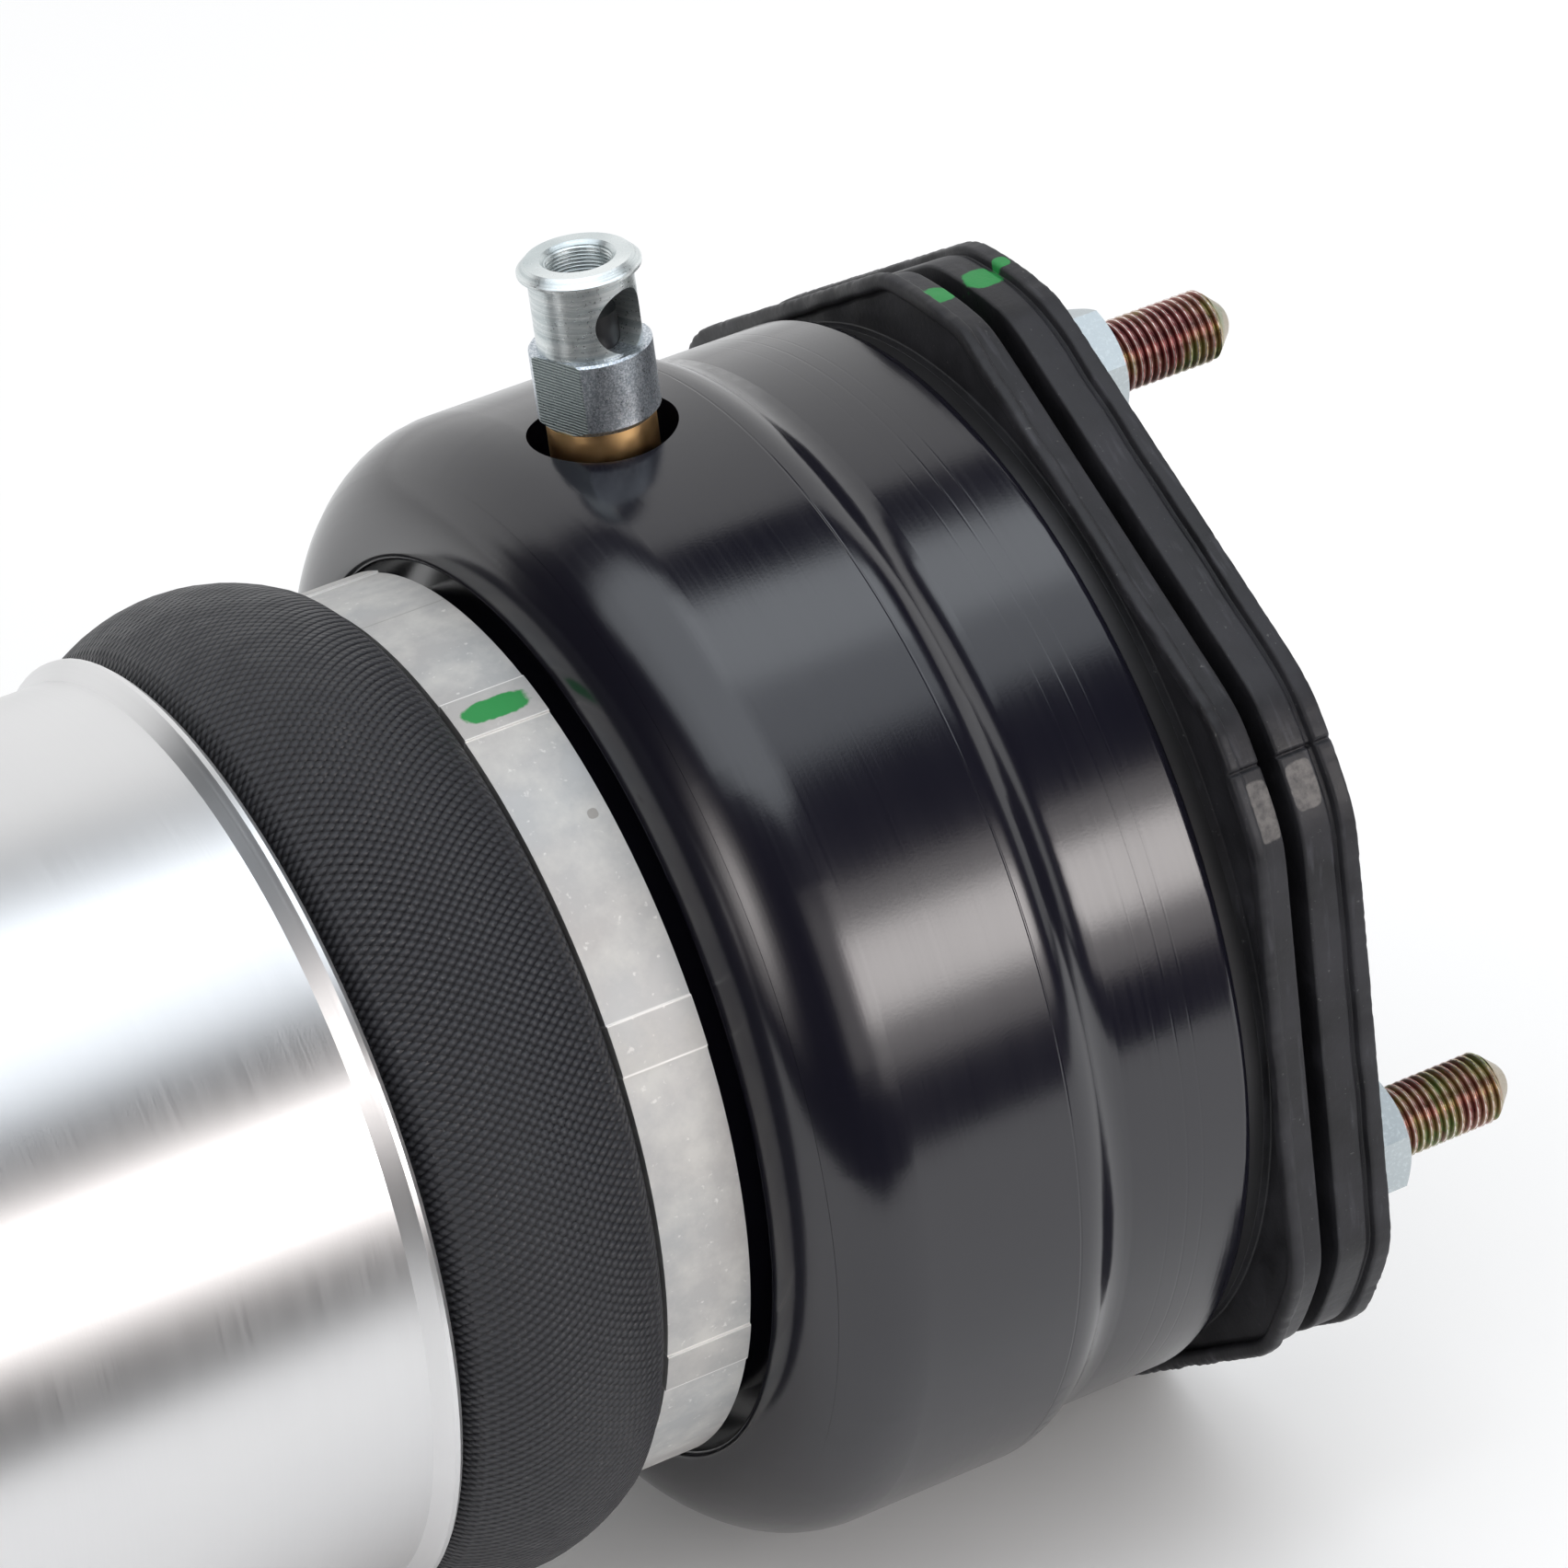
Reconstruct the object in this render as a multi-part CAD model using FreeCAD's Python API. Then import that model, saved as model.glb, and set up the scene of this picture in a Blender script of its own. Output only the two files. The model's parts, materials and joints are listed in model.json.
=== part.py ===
import FreeCAD, Part
import math
import os

os.makedirs("parts", exist_ok=True)

# All sizes are millimetres. The strut lies along X with its studs towards +X.
# X = 0 is the outer face of the stud nuts, and angles run from +Y towards +Z.
V = FreeCAD.Vector
AXIS = V(1, 0, 0)
FIT = 0.1
RUNNING = 0.05
OVER = 1.0

# Studs and nuts
STUD_R = 5.0
STUD_CIRCLE_INSET = 12.5
STUD_COUNT = 3
STUD_ANGLE = 90.0
STUD_FREE = 19.7
STUD_CHAMFER = 3.2
STUD_NOSE_R = 3.4
STUD_HEAD_R = 8.0
STUD_HEAD_T = 2.6
STUD_TIP = 1.4
STUD_TIP_R = 1.4
NUT_FLATS = 15.0
NUT_T = 8.0
NUT_TURN = 41.0
NUT_FACE_SHARE = 0.97
NUT_BEVEL_SHARE = 0.62

# Top mount, from the stud side to the canister
STUD_PLATE_T = 3.0
STUD_PLATE_INSET = 13.4
STUD_PLATE_CORNER_INSET = 4.1
PLATE_HOLE_R = 30.0
PAD_T = 2.0
PAD_MARGIN = 1.2
OUTER_LAYER_T = 7.65
SLOT_W = 2.55
SLOT_DEPTH = 8.0
INNER_LAYER_T = 5.0
BASE_PLATE_T = 2.8
BASE_PLATE_INSET = 2.2
MOUNT_PROUD = 1.8
MOUNT_CORNER_PROUD = 8.2
MOUNT_SIDE_TURNS = (3.0, 2.5, 0.5, -1.0, 0.0, 0.0)
BAND_INSET = 1.0
GROOVE_INSET = 1.45
GROOVE_W = 0.8
OUTER_LIP_W = 2.4
INNER_LIP_W = 1.7
LIP_T = 2.2
LIP_H = 1.2

# Canister
CAN_STEP_IN = 3.2
CAN_A_LEN = 18.6
CAN_STEP_LEN = 9.7
CAN_B_R = 78.6
CAN_B_LEN = 22.4
SHOULDER_R = 14.5
CAN_WALL = 3.2
TOP_T = 6.5
TOP_EDGE_R = 1.6
LIP_CLEAR = 0.6
LIP_EDGE_R = 1.6
RECESS_DEPTH = 6.6
NECK_R = 57.2
NECK_WALL = 3.5
NECK_REACH = 15.9
NECK_GROOVE_W = 1.6
NECK_GROOVE_D = 0.8
NECK_GROOVES = 3

# Air fitting, depth and rise measured from the canister's lower wall
PORT_ANGLE = 89.4
PORT_FROM_TOP = 42.4
PORT_HOLE_R = 9.95
PORT_BOSS_WALL = 3.2
PORT_SEAT_DEPTH = 11.6
PORT_BOSS_DEPTH = 7.0
COLLAR_R = 7.2
COLLAR_PROUD = 1.9
COLLAR_SPIGOT_R = 5.0
COLLAR_BORE_R = 3.0
VALVE_R = 8.05
VALVE_LEN = 10.25
VALVE_FLATS = 14.0
VALVE_FLAT_TURN = 201.0
VALVE_EDGE = 0.9
VALVE_TOP_EDGE = 0.3
VALVE_NECK_R = 6.9
VALVE_NECK_LEN = 10.45
FLANGE_R = 8.1
FLANGE_RIM = 0.4
FLANGE_BEVEL = 1.1
FLANGE_BEVEL_IN = 1.1
THREAD_SINK = 0.5
THREAD_BORE_R = 4.5
THREAD_BORE_LEN = 7.5
CROSS_HOLE_R = 4.3
CROSS_HOLE_UP = 4.15
SEAL_SEAT_R = 4.0
SEAL_WALL = 1.6
SEAL_LEN = 7.0

# Crimp ring, bellows and guide tube
RING_GAP = 2.2
RING_W = 12.1
RING_T = 2.2
LAND_RISE = 0.3
LAND_ARC = 6.3
LAND_COUNT = 8
LAND_ANGLE = 110.8
BELLOWS_T = 2.2
FOLD_PROUD = 5.7
FOLD_GAP = 30.8
FOLD_CLEAR = 0.4
FOLD_HIP_RISE = 0.62
FOLD_HIP_REACH = 0.86
FOLD_SIDE_REACH = 0.985
FOLD_SIDE_LIFT = 0.2
ROLL_GAP = 0.3
GUIDE_R = 62.6
GUIDE_WALL = 3.0
GUIDE_LEN = 190.0
RIM_PROUD = 2.1
RIM_W = 1.4
RIM_EDGE = 0.7
FLARE_LEN = 2.0
CLAMP_FROM_RIM = 10.0
CLAMP_W = 12.0
CLAMP_WALL = 2.5

# Top bush and damper rod
BUSH_R = 26.0
BUSH_LEN = 24.0
BUSH_SHELL_T = 2.5
BUSH_SLEEVE_R = 13.0
BUSH_SLEEVE_OVER = 2.0
BUSH_LEDGE = 5.0
BUSH_LEDGE_T = 2.5
BUSH_RUBBER_INSET = 1.0
BUSH_RUBBER_DISH = 2.0
STOP_CLEAR = 3.0
HOUSE_WALL = 4.0
MOUNT_EYE_R = 24.0
ROD_R = 11.0
ROD_TOP_R = 7.0
ROD_LEN = 322.0
ROD_NUT_FLATS = 21.0
ROD_NUT_T = 11.0
ROD_END = 2.5
ROD_TIP = 1.0
WASHER_R = 17.0
WASHER_T = 2.5
STOP_R = 26.0
STOP_LEN = 62.0
STOP_CUP_T = 2.0
STOP_WAIST = 5.0
STOP_RIBS = 3
STOP_TAPER = 2.0
STOP_LAND_SHARE = 0.45
STOP_WAIST_SHARE = 0.72
STOP_FOOT = 3.0
STOP_FOOT_SHARE = 0.5

# Damper and rolling piston
DAMPER_R = 27.5
DAMPER_WALL = 2.5
DAMPER_LEN = 243.0
DAMPER_FROM_STOP = 127.0
GLAND_T = 16.0
SEAL_T = 4.0
ROD_SEAL_WALL = 3.0
GLAND_EDGE = 1.0
VALVE_PISTON_T = 12.0
OIL_HOLE_R = 2.2
OIL_HOLE_COUNT = 6
OIL_HOLE_RING_R = 18.0
PISTON_R = 43.0
PISTON_WALL = 2.5
PISTON_LEN = 118.0
PISTON_BELOW_TOP = 13.0
PISTON_NECK_R = 36.0
PISTON_NECK_LEN = 10.0
PISTON_CONE_LEN = 7.0
PISTON_FOOT_R = 36.0
PISTON_FOOT_LEN = 30.0
PISTON_HEAD_T = 5.0
PISTON_HUB_LEN = 25.0
LOBE_BELOW_PISTON = 42.0
PISTON_CLAMP_T = 2.0
PISTON_CLAMP_W = 7.0

# Dust boot
BOOT_T = 2.0
BOOT_TUCK = 12.0
BOOT_FOLDS = 7
BOOT_PITCH = 15.0
BOOT_R_TOP = 60.0
BOOT_R_LOW = 46.0
BOOT_FOLD_DEPTH = 9.0
BOOT_COLLAR = 12.0
BAND_T = 1.2
BAND_W = 7.0

# Lower eye
EYE_DROP = 32.0
EYE_R = 24.5
EYE_W = 42.0
EYE_BORE_R = 19.5
EYE_STEM_R = 18.0
EYE_FLANGE_T = 5.0
EYE_FLANGE_EDGE = 3.0
EYE_STEM_FLARE = 1.0
EYE_STEM_START = 14.7
EYE_EDGE = 1.5
EYE_SLEEVE_R = 11.5
EYE_BOLT_R = 7.1
EYE_SLEEVE_OVER = 4.0
EYE_BUSH_INSET = 2.0

# Stations along the axis, radii and heights that follow from the sizes above
X_SEAT = -NUT_T
X_PLATE = X_SEAT - STUD_PLATE_T
X_RIM_OUT = X_PLATE - PAD_T
X_SLOT_OUT = X_RIM_OUT - OUTER_LAYER_T
X_SLOT_IN = X_SLOT_OUT - SLOT_W
X_RIM_IN = X_SLOT_IN - INNER_LAYER_T
X_TOP = X_RIM_IN - BASE_PLATE_T
X_A_END = X_TOP - CAN_A_LEN
X_B_TOP = X_A_END - CAN_STEP_LEN
X_B_END = X_B_TOP - CAN_B_LEN
X_SHOULDER = X_B_END - SHOULDER_R
X_FLOOR = X_SHOULDER + RECESS_DEPTH
X_NECK_END = X_SHOULDER - NECK_REACH
X_PORT = X_TOP - PORT_FROM_TOP
X_RING_TOP = X_SHOULDER - RING_GAP
X_RING_LOW = X_RING_TOP - RING_W
X_RIM = X_RING_LOW - FOLD_GAP
X_GUIDE_END = X_RIM - GUIDE_LEN
CAN_A_R = CAN_B_R - CAN_STEP_IN
STUD_CIRCLE_R = CAN_A_R - STUD_CIRCLE_INSET
STUD_PLATE_APOTHEM = CAN_A_R - STUD_PLATE_INSET
STUD_PLATE_CORNER_R = CAN_A_R - STUD_PLATE_CORNER_INSET
BASE_PLATE_R = CAN_A_R - BASE_PLATE_INSET
MOUNT_APOTHEM = CAN_A_R + MOUNT_PROUD
MOUNT_CORNER_R = CAN_A_R + MOUNT_CORNER_PROUD
GUIDE_IN_R = GUIDE_R - GUIDE_WALL
RIM_R = GUIDE_R + RIM_PROUD
FOLD_R = GUIDE_R + FOLD_PROUD
RING_IN_R = NECK_R + BELLOWS_T + 2 * FIT
RING_R = RING_IN_R + RING_T
LIP_R = RING_R + LIP_CLEAR
PORT_SEAT_H = CAN_B_R - PORT_SEAT_DEPTH
COLLAR_TOP_H = CAN_B_R + COLLAR_PROUD
PORT_TOP_H = COLLAR_TOP_H + VALVE_LEN + VALVE_NECK_LEN + FLANGE_RIM + FLANGE_BEVEL
BORE_END_H = PORT_TOP_H - THREAD_BORE_LEN
SEAL_LOW_H = BORE_END_H - SEAL_LEN
HOUSE_R = BUSH_R + HOUSE_WALL
X_BUSH_LOW = X_TOP - BUSH_LEN
X_HOUSE_END = X_BUSH_LOW - BUSH_LEDGE_T
X_SLEEVE_TOP = X_TOP + BUSH_SLEEVE_OVER
X_SLEEVE_LOW = X_HOUSE_END - STOP_CLEAR
X_ROD_NUT = X_SLEEVE_TOP + WASHER_T
X_ROD_LOW = X_SLEEVE_LOW - ROD_LEN
X_STOP_TOP = X_SLEEVE_LOW - STOP_CUP_T
X_STOP_LOW = X_STOP_TOP - STOP_LEN
X_DAMPER_TOP = X_STOP_LOW - DAMPER_FROM_STOP
X_DAMPER_LOW = X_DAMPER_TOP - DAMPER_LEN
X_PISTON_TOP = X_DAMPER_TOP - PISTON_BELOW_TOP
X_LOBE = X_PISTON_TOP - LOBE_BELOW_PISTON
X_EYE = X_DAMPER_LOW - EYE_DROP


def lathe(start, steps):
    """Turned solid from a closed outline of (x, radius) lines and three-point arcs."""
    edges = []
    first = V(start[0], start[1], 0)
    here = first
    for step in steps:
        end = V(step[-2], step[-1], 0)
        if len(step) == 4:
            edges.append(Part.Arc(here, V(step[0], step[1], 0), end).toShape())
        else:
            edges.append(Part.makeLine(here, end))
        here = end
    if here.distanceToPoint(first) > 1e-6:
        edges.append(Part.makeLine(here, first))
    face = Part.Face(Part.Wire(edges))
    return face.revolve(V(0, 0, 0), AXIS, 360)


def sleeve(x_low, x_high, r_in, r_out):
    """Plain ring or tube along the axis."""
    return lathe((x_low, r_in), [(x_low, r_out), (x_high, r_out), (x_high, r_in)])


def bar(x_low, x_high, radius):
    """Plain round bar along the axis."""
    return Part.makeCylinder(radius, x_high - x_low, V(x_low, 0, 0), AXIS)


def on_arc(x, r, radius, angle):
    """Point on a circle about (x, r), angle from +X towards larger radius."""
    a = math.radians(angle)
    return (x + radius * math.cos(a), r + radius * math.sin(a))


def s_curve(x0, r0, x1, r1):
    """Two equal arcs that carry one radius smoothly into another."""
    half = (x1 - x0) / 2
    rise = (r1 - r0) / 2
    radius = (half * half + rise * rise) / (2 * abs(rise))
    turn = math.asin(abs(half) / radius) / 2
    up = 1 if rise > 0 else -1
    side = 1 if half > 0 else -1
    dx = side * radius * math.sin(turn)
    dr = up * radius * (1 - math.cos(turn))
    middle = (x0 + half, r0 + rise)
    return [(x0 + dx, r0 + dr) + middle, (x1 - dx, r1 - dr, x1, r1)]


def skin(start, steps, thickness):
    """Thin turned sleeve whose middle line is the given open path."""
    edges = []
    here = V(start[0], start[1], 0)
    for step in steps:
        end = V(step[-2], step[-1], 0)
        if len(step) == 4:
            edges.append(Part.Arc(here, V(step[0], step[1], 0), end).toShape())
        else:
            edges.append(Part.makeLine(here, end))
        here = end
    one_side = Part.Wire(edges).makeOffset2D(-thickness / 2, 0, False, True)
    face = one_side.makeOffset2D(thickness, 0, True, True)
    return face.revolve(V(0, 0, 0), AXIS, 360)


def around(shape, count, angle):
    """Copies of a shape spaced evenly about the axis, the first turned to the angle."""
    made = []
    for k in range(count):
        copy = shape.copy()
        copy.rotate(V(0, 0, 0), AXIS, angle + 360.0 * k / count)
        made.append(copy)
    return made


def six_sided(x_low, x_high, apothem, corner_r):
    """Plate across the axis with six nearly even sides and corners turned to a radius."""
    first = STUD_ANGLE - 30
    sides = [math.radians(first + 60 * k + turn) for k, turn in enumerate(MOUNT_SIDE_TURNS)]
    sides.append(sides[0] + 2 * math.pi)
    points = []
    for one, two in zip(sides, sides[1:]):
        reach = apothem / math.cos((two - one) / 2)
        a = (one + two) / 2
        points.append(V(x_low, reach * math.cos(a), reach * math.sin(a)))
    face = Part.Face(Part.makePolygon(points + [points[0]]))
    plate = face.extrude(V(x_high - x_low, 0, 0))
    return plate.common(bar(x_low - OVER, x_high + OVER, corner_r))


def hex_nut(x_low, thickness, flats, bore_r):
    """Nut along the axis with both faces chamfered."""
    corner_r = flats / math.cos(math.radians(30)) / 2
    points = []
    for k in range(7):
        a = math.radians(60 * k)
        points.append(V(x_low, corner_r * math.cos(a), corner_r * math.sin(a)))
    body = Part.Face(Part.makePolygon(points)).extrude(V(thickness, 0, 0))
    edge = (corner_r - flats / 2) * NUT_BEVEL_SHARE
    face_r = flats / 2 * NUT_FACE_SHARE
    x_high = x_low + thickness
    turned = lathe((x_low, bore_r), [
        (x_low, face_r),
        (x_low + edge, corner_r + FIT),
        (x_high - edge, corner_r + FIT),
        (x_high, face_r),
        (x_high, bore_r),
    ])
    return body.common(turned)


def at_port(shape):
    """Moves a shape built upright on the axis to the air port."""
    placed = shape.copy()
    placed.rotate(V(0, 0, 0), AXIS, PORT_ANGLE - 90)
    placed.translate(V(X_PORT, 0, 0))
    return placed


def upright(low, high, radius):
    return Part.makeCylinder(radius, high - low, V(0, 0, low), V(0, 0, 1))


def upright_lathe(outline):
    """Turned solid about Z from (radius, height) corners."""
    points = [V(r, 0, h) for r, h in outline]
    face = Part.Face(Part.makePolygon(points + [points[0]]))
    return face.revolve(V(0, 0, 0), V(0, 0, 1), 360)


def stud_positions():
    places = []
    for k in range(STUD_COUNT):
        a = math.radians(STUD_ANGLE + 360.0 * k / STUD_COUNT)
        places.append(V(0, STUD_CIRCLE_R * math.cos(a), STUD_CIRCLE_R * math.sin(a)))
    return places


def drilled_for_studs(shape, x_low, x_high, radius):
    for place in stud_positions():
        hole = bar(x_low - OVER, x_high + OVER, radius)
        hole.translate(place)
        shape = shape.cut(hole)
    return shape


# Canister: turned shell with stepped wall, rounded shoulder, lip recess and clamp neck
def canister_wall():
    turn_r = SHOULDER_R - CAN_WALL
    x_floor_in = X_FLOOR + CAN_WALL
    centre_r = CAN_B_R - SHOULDER_R
    drop = X_B_END - x_floor_in
    floor_angle = 180 - math.degrees(math.acos(drop / turn_r))
    steps = [
        on_arc(X_TOP - TOP_EDGE_R, CAN_A_R - TOP_EDGE_R, TOP_EDGE_R, 45)
        + (X_TOP - TOP_EDGE_R, CAN_A_R),
        (X_A_END, CAN_A_R),
    ]
    steps += s_curve(X_A_END, CAN_A_R, X_B_TOP, CAN_B_R)
    steps += [
        (X_B_END, CAN_B_R),
        on_arc(X_B_END, centre_r, SHOULDER_R, 135) + (X_SHOULDER, centre_r),
        (X_SHOULDER, LIP_R + LIP_EDGE_R),
        on_arc(X_SHOULDER + LIP_EDGE_R, LIP_R + LIP_EDGE_R, LIP_EDGE_R, 225)
        + (X_SHOULDER + LIP_EDGE_R, LIP_R),
        (X_FLOOR, LIP_R),
        (X_FLOOR, NECK_R),
    ]
    pitch = RING_W / (NECK_GROOVES + 1)
    for k in range(NECK_GROOVES):
        x = X_RING_TOP - pitch * (k + 1)
        steps.append((x + NECK_GROOVE_W / 2, NECK_R))
        steps.append((x, NECK_R - NECK_GROOVE_D))
        steps.append((x - NECK_GROOVE_W / 2, NECK_R))
    steps += [
        (X_NECK_END + LIP_EDGE_R, NECK_R),
        (X_NECK_END, NECK_R - LIP_EDGE_R),
        (X_NECK_END, NECK_R - NECK_WALL),
        (x_floor_in, NECK_R - NECK_WALL),
        on_arc(X_B_END, centre_r, turn_r, floor_angle),
        on_arc(X_B_END, centre_r, turn_r, (floor_angle + 90) / 2)
        + (X_B_END, CAN_B_R - CAN_WALL),
        (X_B_TOP, CAN_B_R - CAN_WALL),
    ]
    steps += s_curve(X_B_TOP, CAN_B_R - CAN_WALL, X_A_END, CAN_A_R - CAN_WALL)
    steps += [
        (X_TOP - TOP_T, CAN_A_R - CAN_WALL),
        (X_TOP - TOP_T, HOUSE_R + RUNNING),
        (X_TOP, HOUSE_R + RUNNING),
    ]
    return lathe((X_TOP, CAN_A_R - TOP_EDGE_R), steps)


def canister():
    shell = canister_wall().cut(at_port(upright(PORT_SEAT_H, CAN_B_R + OVER, PORT_HOLE_R)))
    for place in stud_positions():
        pocket = bar(X_TOP - STUD_HEAD_T - FIT, X_TOP + OVER, STUD_HEAD_R + FIT)
        pocket.translate(place)
        shell = shell.cut(pocket)
    return shell


def port_boss():
    """Boss inside the wall that the air fitting is seated in."""
    low = PORT_SEAT_H - PORT_BOSS_DEPTH
    boss = upright(low, CAN_B_R - CAN_WALL / 2, PORT_HOLE_R + PORT_BOSS_WALL)
    boss = boss.cut(upright(PORT_SEAT_H, CAN_B_R + OVER, PORT_HOLE_R))
    boss = boss.cut(upright(low - OVER, PORT_SEAT_H + OVER, COLLAR_SPIGOT_R + RUNNING))
    return at_port(boss).cut(canister_wall())


def bush_housing():
    """Ring pressed into the canister's top, with a ledge under the bush."""
    return lathe((X_TOP, BUSH_R), [
        (X_TOP, HOUSE_R),
        (X_HOUSE_END, HOUSE_R),
        (X_HOUSE_END, BUSH_R - BUSH_LEDGE),
        (X_BUSH_LOW, BUSH_R - BUSH_LEDGE),
        (X_BUSH_LOW, BUSH_R),
    ])


# Top mount: steel plates with a six-sided rubber moulding between them
def base_plate():
    plate = sleeve(X_TOP, X_RIM_IN, MOUNT_EYE_R, BASE_PLATE_R)
    return drilled_for_studs(plate, X_TOP, X_RIM_IN, STUD_R + RUNNING)


def mount_rubber():
    def layer(x_low, x_high, inset):
        return six_sided(x_low, x_high, MOUNT_APOTHEM - inset, MOUNT_CORNER_R - inset)

    x_inner_lip = X_RIM_IN + INNER_LIP_W
    x_outer_lip = X_RIM_OUT - OUTER_LIP_W
    x_groove = x_outer_lip - GROOVE_W
    body = layer(X_RIM_IN, x_inner_lip, 0)
    layers = [
        layer(x_inner_lip, X_SLOT_IN, BAND_INSET),
        layer(X_SLOT_IN, X_SLOT_OUT, SLOT_DEPTH),
        layer(X_SLOT_OUT, x_groove, BAND_INSET),
        layer(x_groove, x_outer_lip, GROOVE_INSET),
        layer(x_outer_lip, X_RIM_OUT, 0),
        six_sided(X_RIM_OUT, X_PLATE, STUD_PLATE_APOTHEM + PAD_MARGIN, STUD_PLATE_CORNER_R + PAD_MARGIN),
    ]
    for piece in layers:
        body = body.fuse(piece)
    hollow = layer(X_RIM_IN - OVER, X_RIM_IN + LIP_H, LIP_T)
    hollow = hollow.cut(bar(X_RIM_IN - 2 * OVER, X_RIM_IN + LIP_H + OVER, BASE_PLATE_R))
    body = body.cut(hollow)
    body = body.cut(bar(X_RIM_IN - OVER, X_PLATE + OVER, PLATE_HOLE_R))
    body = drilled_for_studs(body, X_RIM_IN, X_PLATE, STUD_R + FIT)
    return body.removeSplitter()


def stud_plate():
    plate = six_sided(X_PLATE, X_SEAT, STUD_PLATE_APOTHEM, STUD_PLATE_CORNER_R)
    plate = plate.cut(bar(X_PLATE - OVER, X_SEAT + OVER, PLATE_HOLE_R))
    return drilled_for_studs(plate, X_PLATE, X_SEAT, STUD_R + RUNNING)


def stud():
    """Headed stud: chamfered lead end, free thread beyond the nut, shank inside the mount."""
    x_thread = STUD_FREE - STUD_CHAMFER
    x_nut_face = X_SEAT + NUT_T
    return lathe((STUD_FREE, 0), [
        (STUD_FREE, STUD_TIP_R),
        (STUD_FREE - STUD_TIP, STUD_NOSE_R),
        (x_thread, STUD_NOSE_R + (STUD_R - STUD_NOSE_R) / 2),
        (x_thread - (STUD_R - STUD_NOSE_R) / 2, STUD_R),
        (x_nut_face, STUD_R),
        (X_TOP, STUD_R),
        (X_TOP, STUD_HEAD_R),
        (X_TOP - STUD_HEAD_T, STUD_HEAD_R),
        (X_TOP - STUD_HEAD_T, 0),
    ])


# Air fitting: brass collar, plated valve body and rubber insert
def fitting_collar():
    return at_port(upright_lathe([
        (COLLAR_BORE_R, PORT_SEAT_H - PORT_BOSS_DEPTH),
        (COLLAR_SPIGOT_R, PORT_SEAT_H - PORT_BOSS_DEPTH),
        (COLLAR_SPIGOT_R, PORT_SEAT_H),
        (COLLAR_R, PORT_SEAT_H),
        (COLLAR_R, COLLAR_TOP_H),
        (COLLAR_BORE_R, COLLAR_TOP_H),
    ]))


def fitting_body():
    low = COLLAR_TOP_H
    step = low + VALVE_LEN
    flange = step + VALVE_NECK_LEN
    body = upright_lathe([
        (COLLAR_BORE_R, low),
        (VALVE_R - VALVE_EDGE, low),
        (VALVE_R, low + VALVE_EDGE),
        (VALVE_R, step - VALVE_TOP_EDGE),
        (VALVE_R - VALVE_TOP_EDGE, step),
        (VALVE_NECK_R, step),
        (VALVE_NECK_R, flange),
        (FLANGE_R, flange),
        (FLANGE_R, flange + FLANGE_RIM),
        (FLANGE_R - FLANGE_BEVEL_IN, PORT_TOP_H),
        (THREAD_BORE_R + THREAD_SINK, PORT_TOP_H),
        (THREAD_BORE_R, PORT_TOP_H - THREAD_SINK),
        (THREAD_BORE_R, BORE_END_H),
        (SEAL_SEAT_R, BORE_END_H),
        (SEAL_SEAT_R, SEAL_LOW_H),
        (COLLAR_BORE_R, SEAL_LOW_H),
    ])
    for side in (0, 180):
        block = Part.makeBox(
            VALVE_R, 4 * VALVE_R, VALVE_LEN + 2 * OVER,
            V(VALVE_FLATS / 2, -2 * VALVE_R, low - OVER))
        block.rotate(V(0, 0, 0), V(0, 0, 1), VALVE_FLAT_TURN + side)
        body = body.cut(block)
    height = step + CROSS_HOLE_UP
    drill = Part.makeCylinder(CROSS_HOLE_R, VALVE_R + OVER, V(0, 0, height), AXIS)
    drill.rotate(V(0, 0, 0), V(0, 0, 1), VALVE_FLAT_TURN + 90)
    return at_port(body.cut(drill))


def fitting_seal():
    outer = SEAL_SEAT_R - RUNNING
    return at_port(upright_lathe([
        (outer - SEAL_WALL, SEAL_LOW_H),
        (outer, SEAL_LOW_H),
        (outer, BORE_END_H),
        (outer - SEAL_WALL, BORE_END_H),
    ]))


# Crimp ring: eight narrow lands stand between the wide jaw marks
def crimp_ring():
    ring = sleeve(X_RING_LOW, X_RING_TOP, RING_IN_R, RING_R)
    strip = sleeve(X_RING_LOW, X_RING_TOP, RING_R - LAND_RISE, RING_R + LAND_RISE)
    half = math.radians(LAND_ARC / 2)
    reach = RING_R + 2 * OVER
    wedge = Part.Face(Part.makePolygon([
        V(X_RING_LOW, 0, 0),
        V(X_RING_LOW, reach * math.cos(half), -reach * math.sin(half)),
        V(X_RING_LOW, reach * math.cos(half), reach * math.sin(half)),
        V(X_RING_LOW, 0, 0),
    ])).extrude(V(RING_W, 0, 0))
    land = strip.common(wedge)
    for piece in around(land, LAND_COUNT, LAND_ANGLE):
        ring = ring.fuse(piece)
    return ring.removeSplitter()


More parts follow.
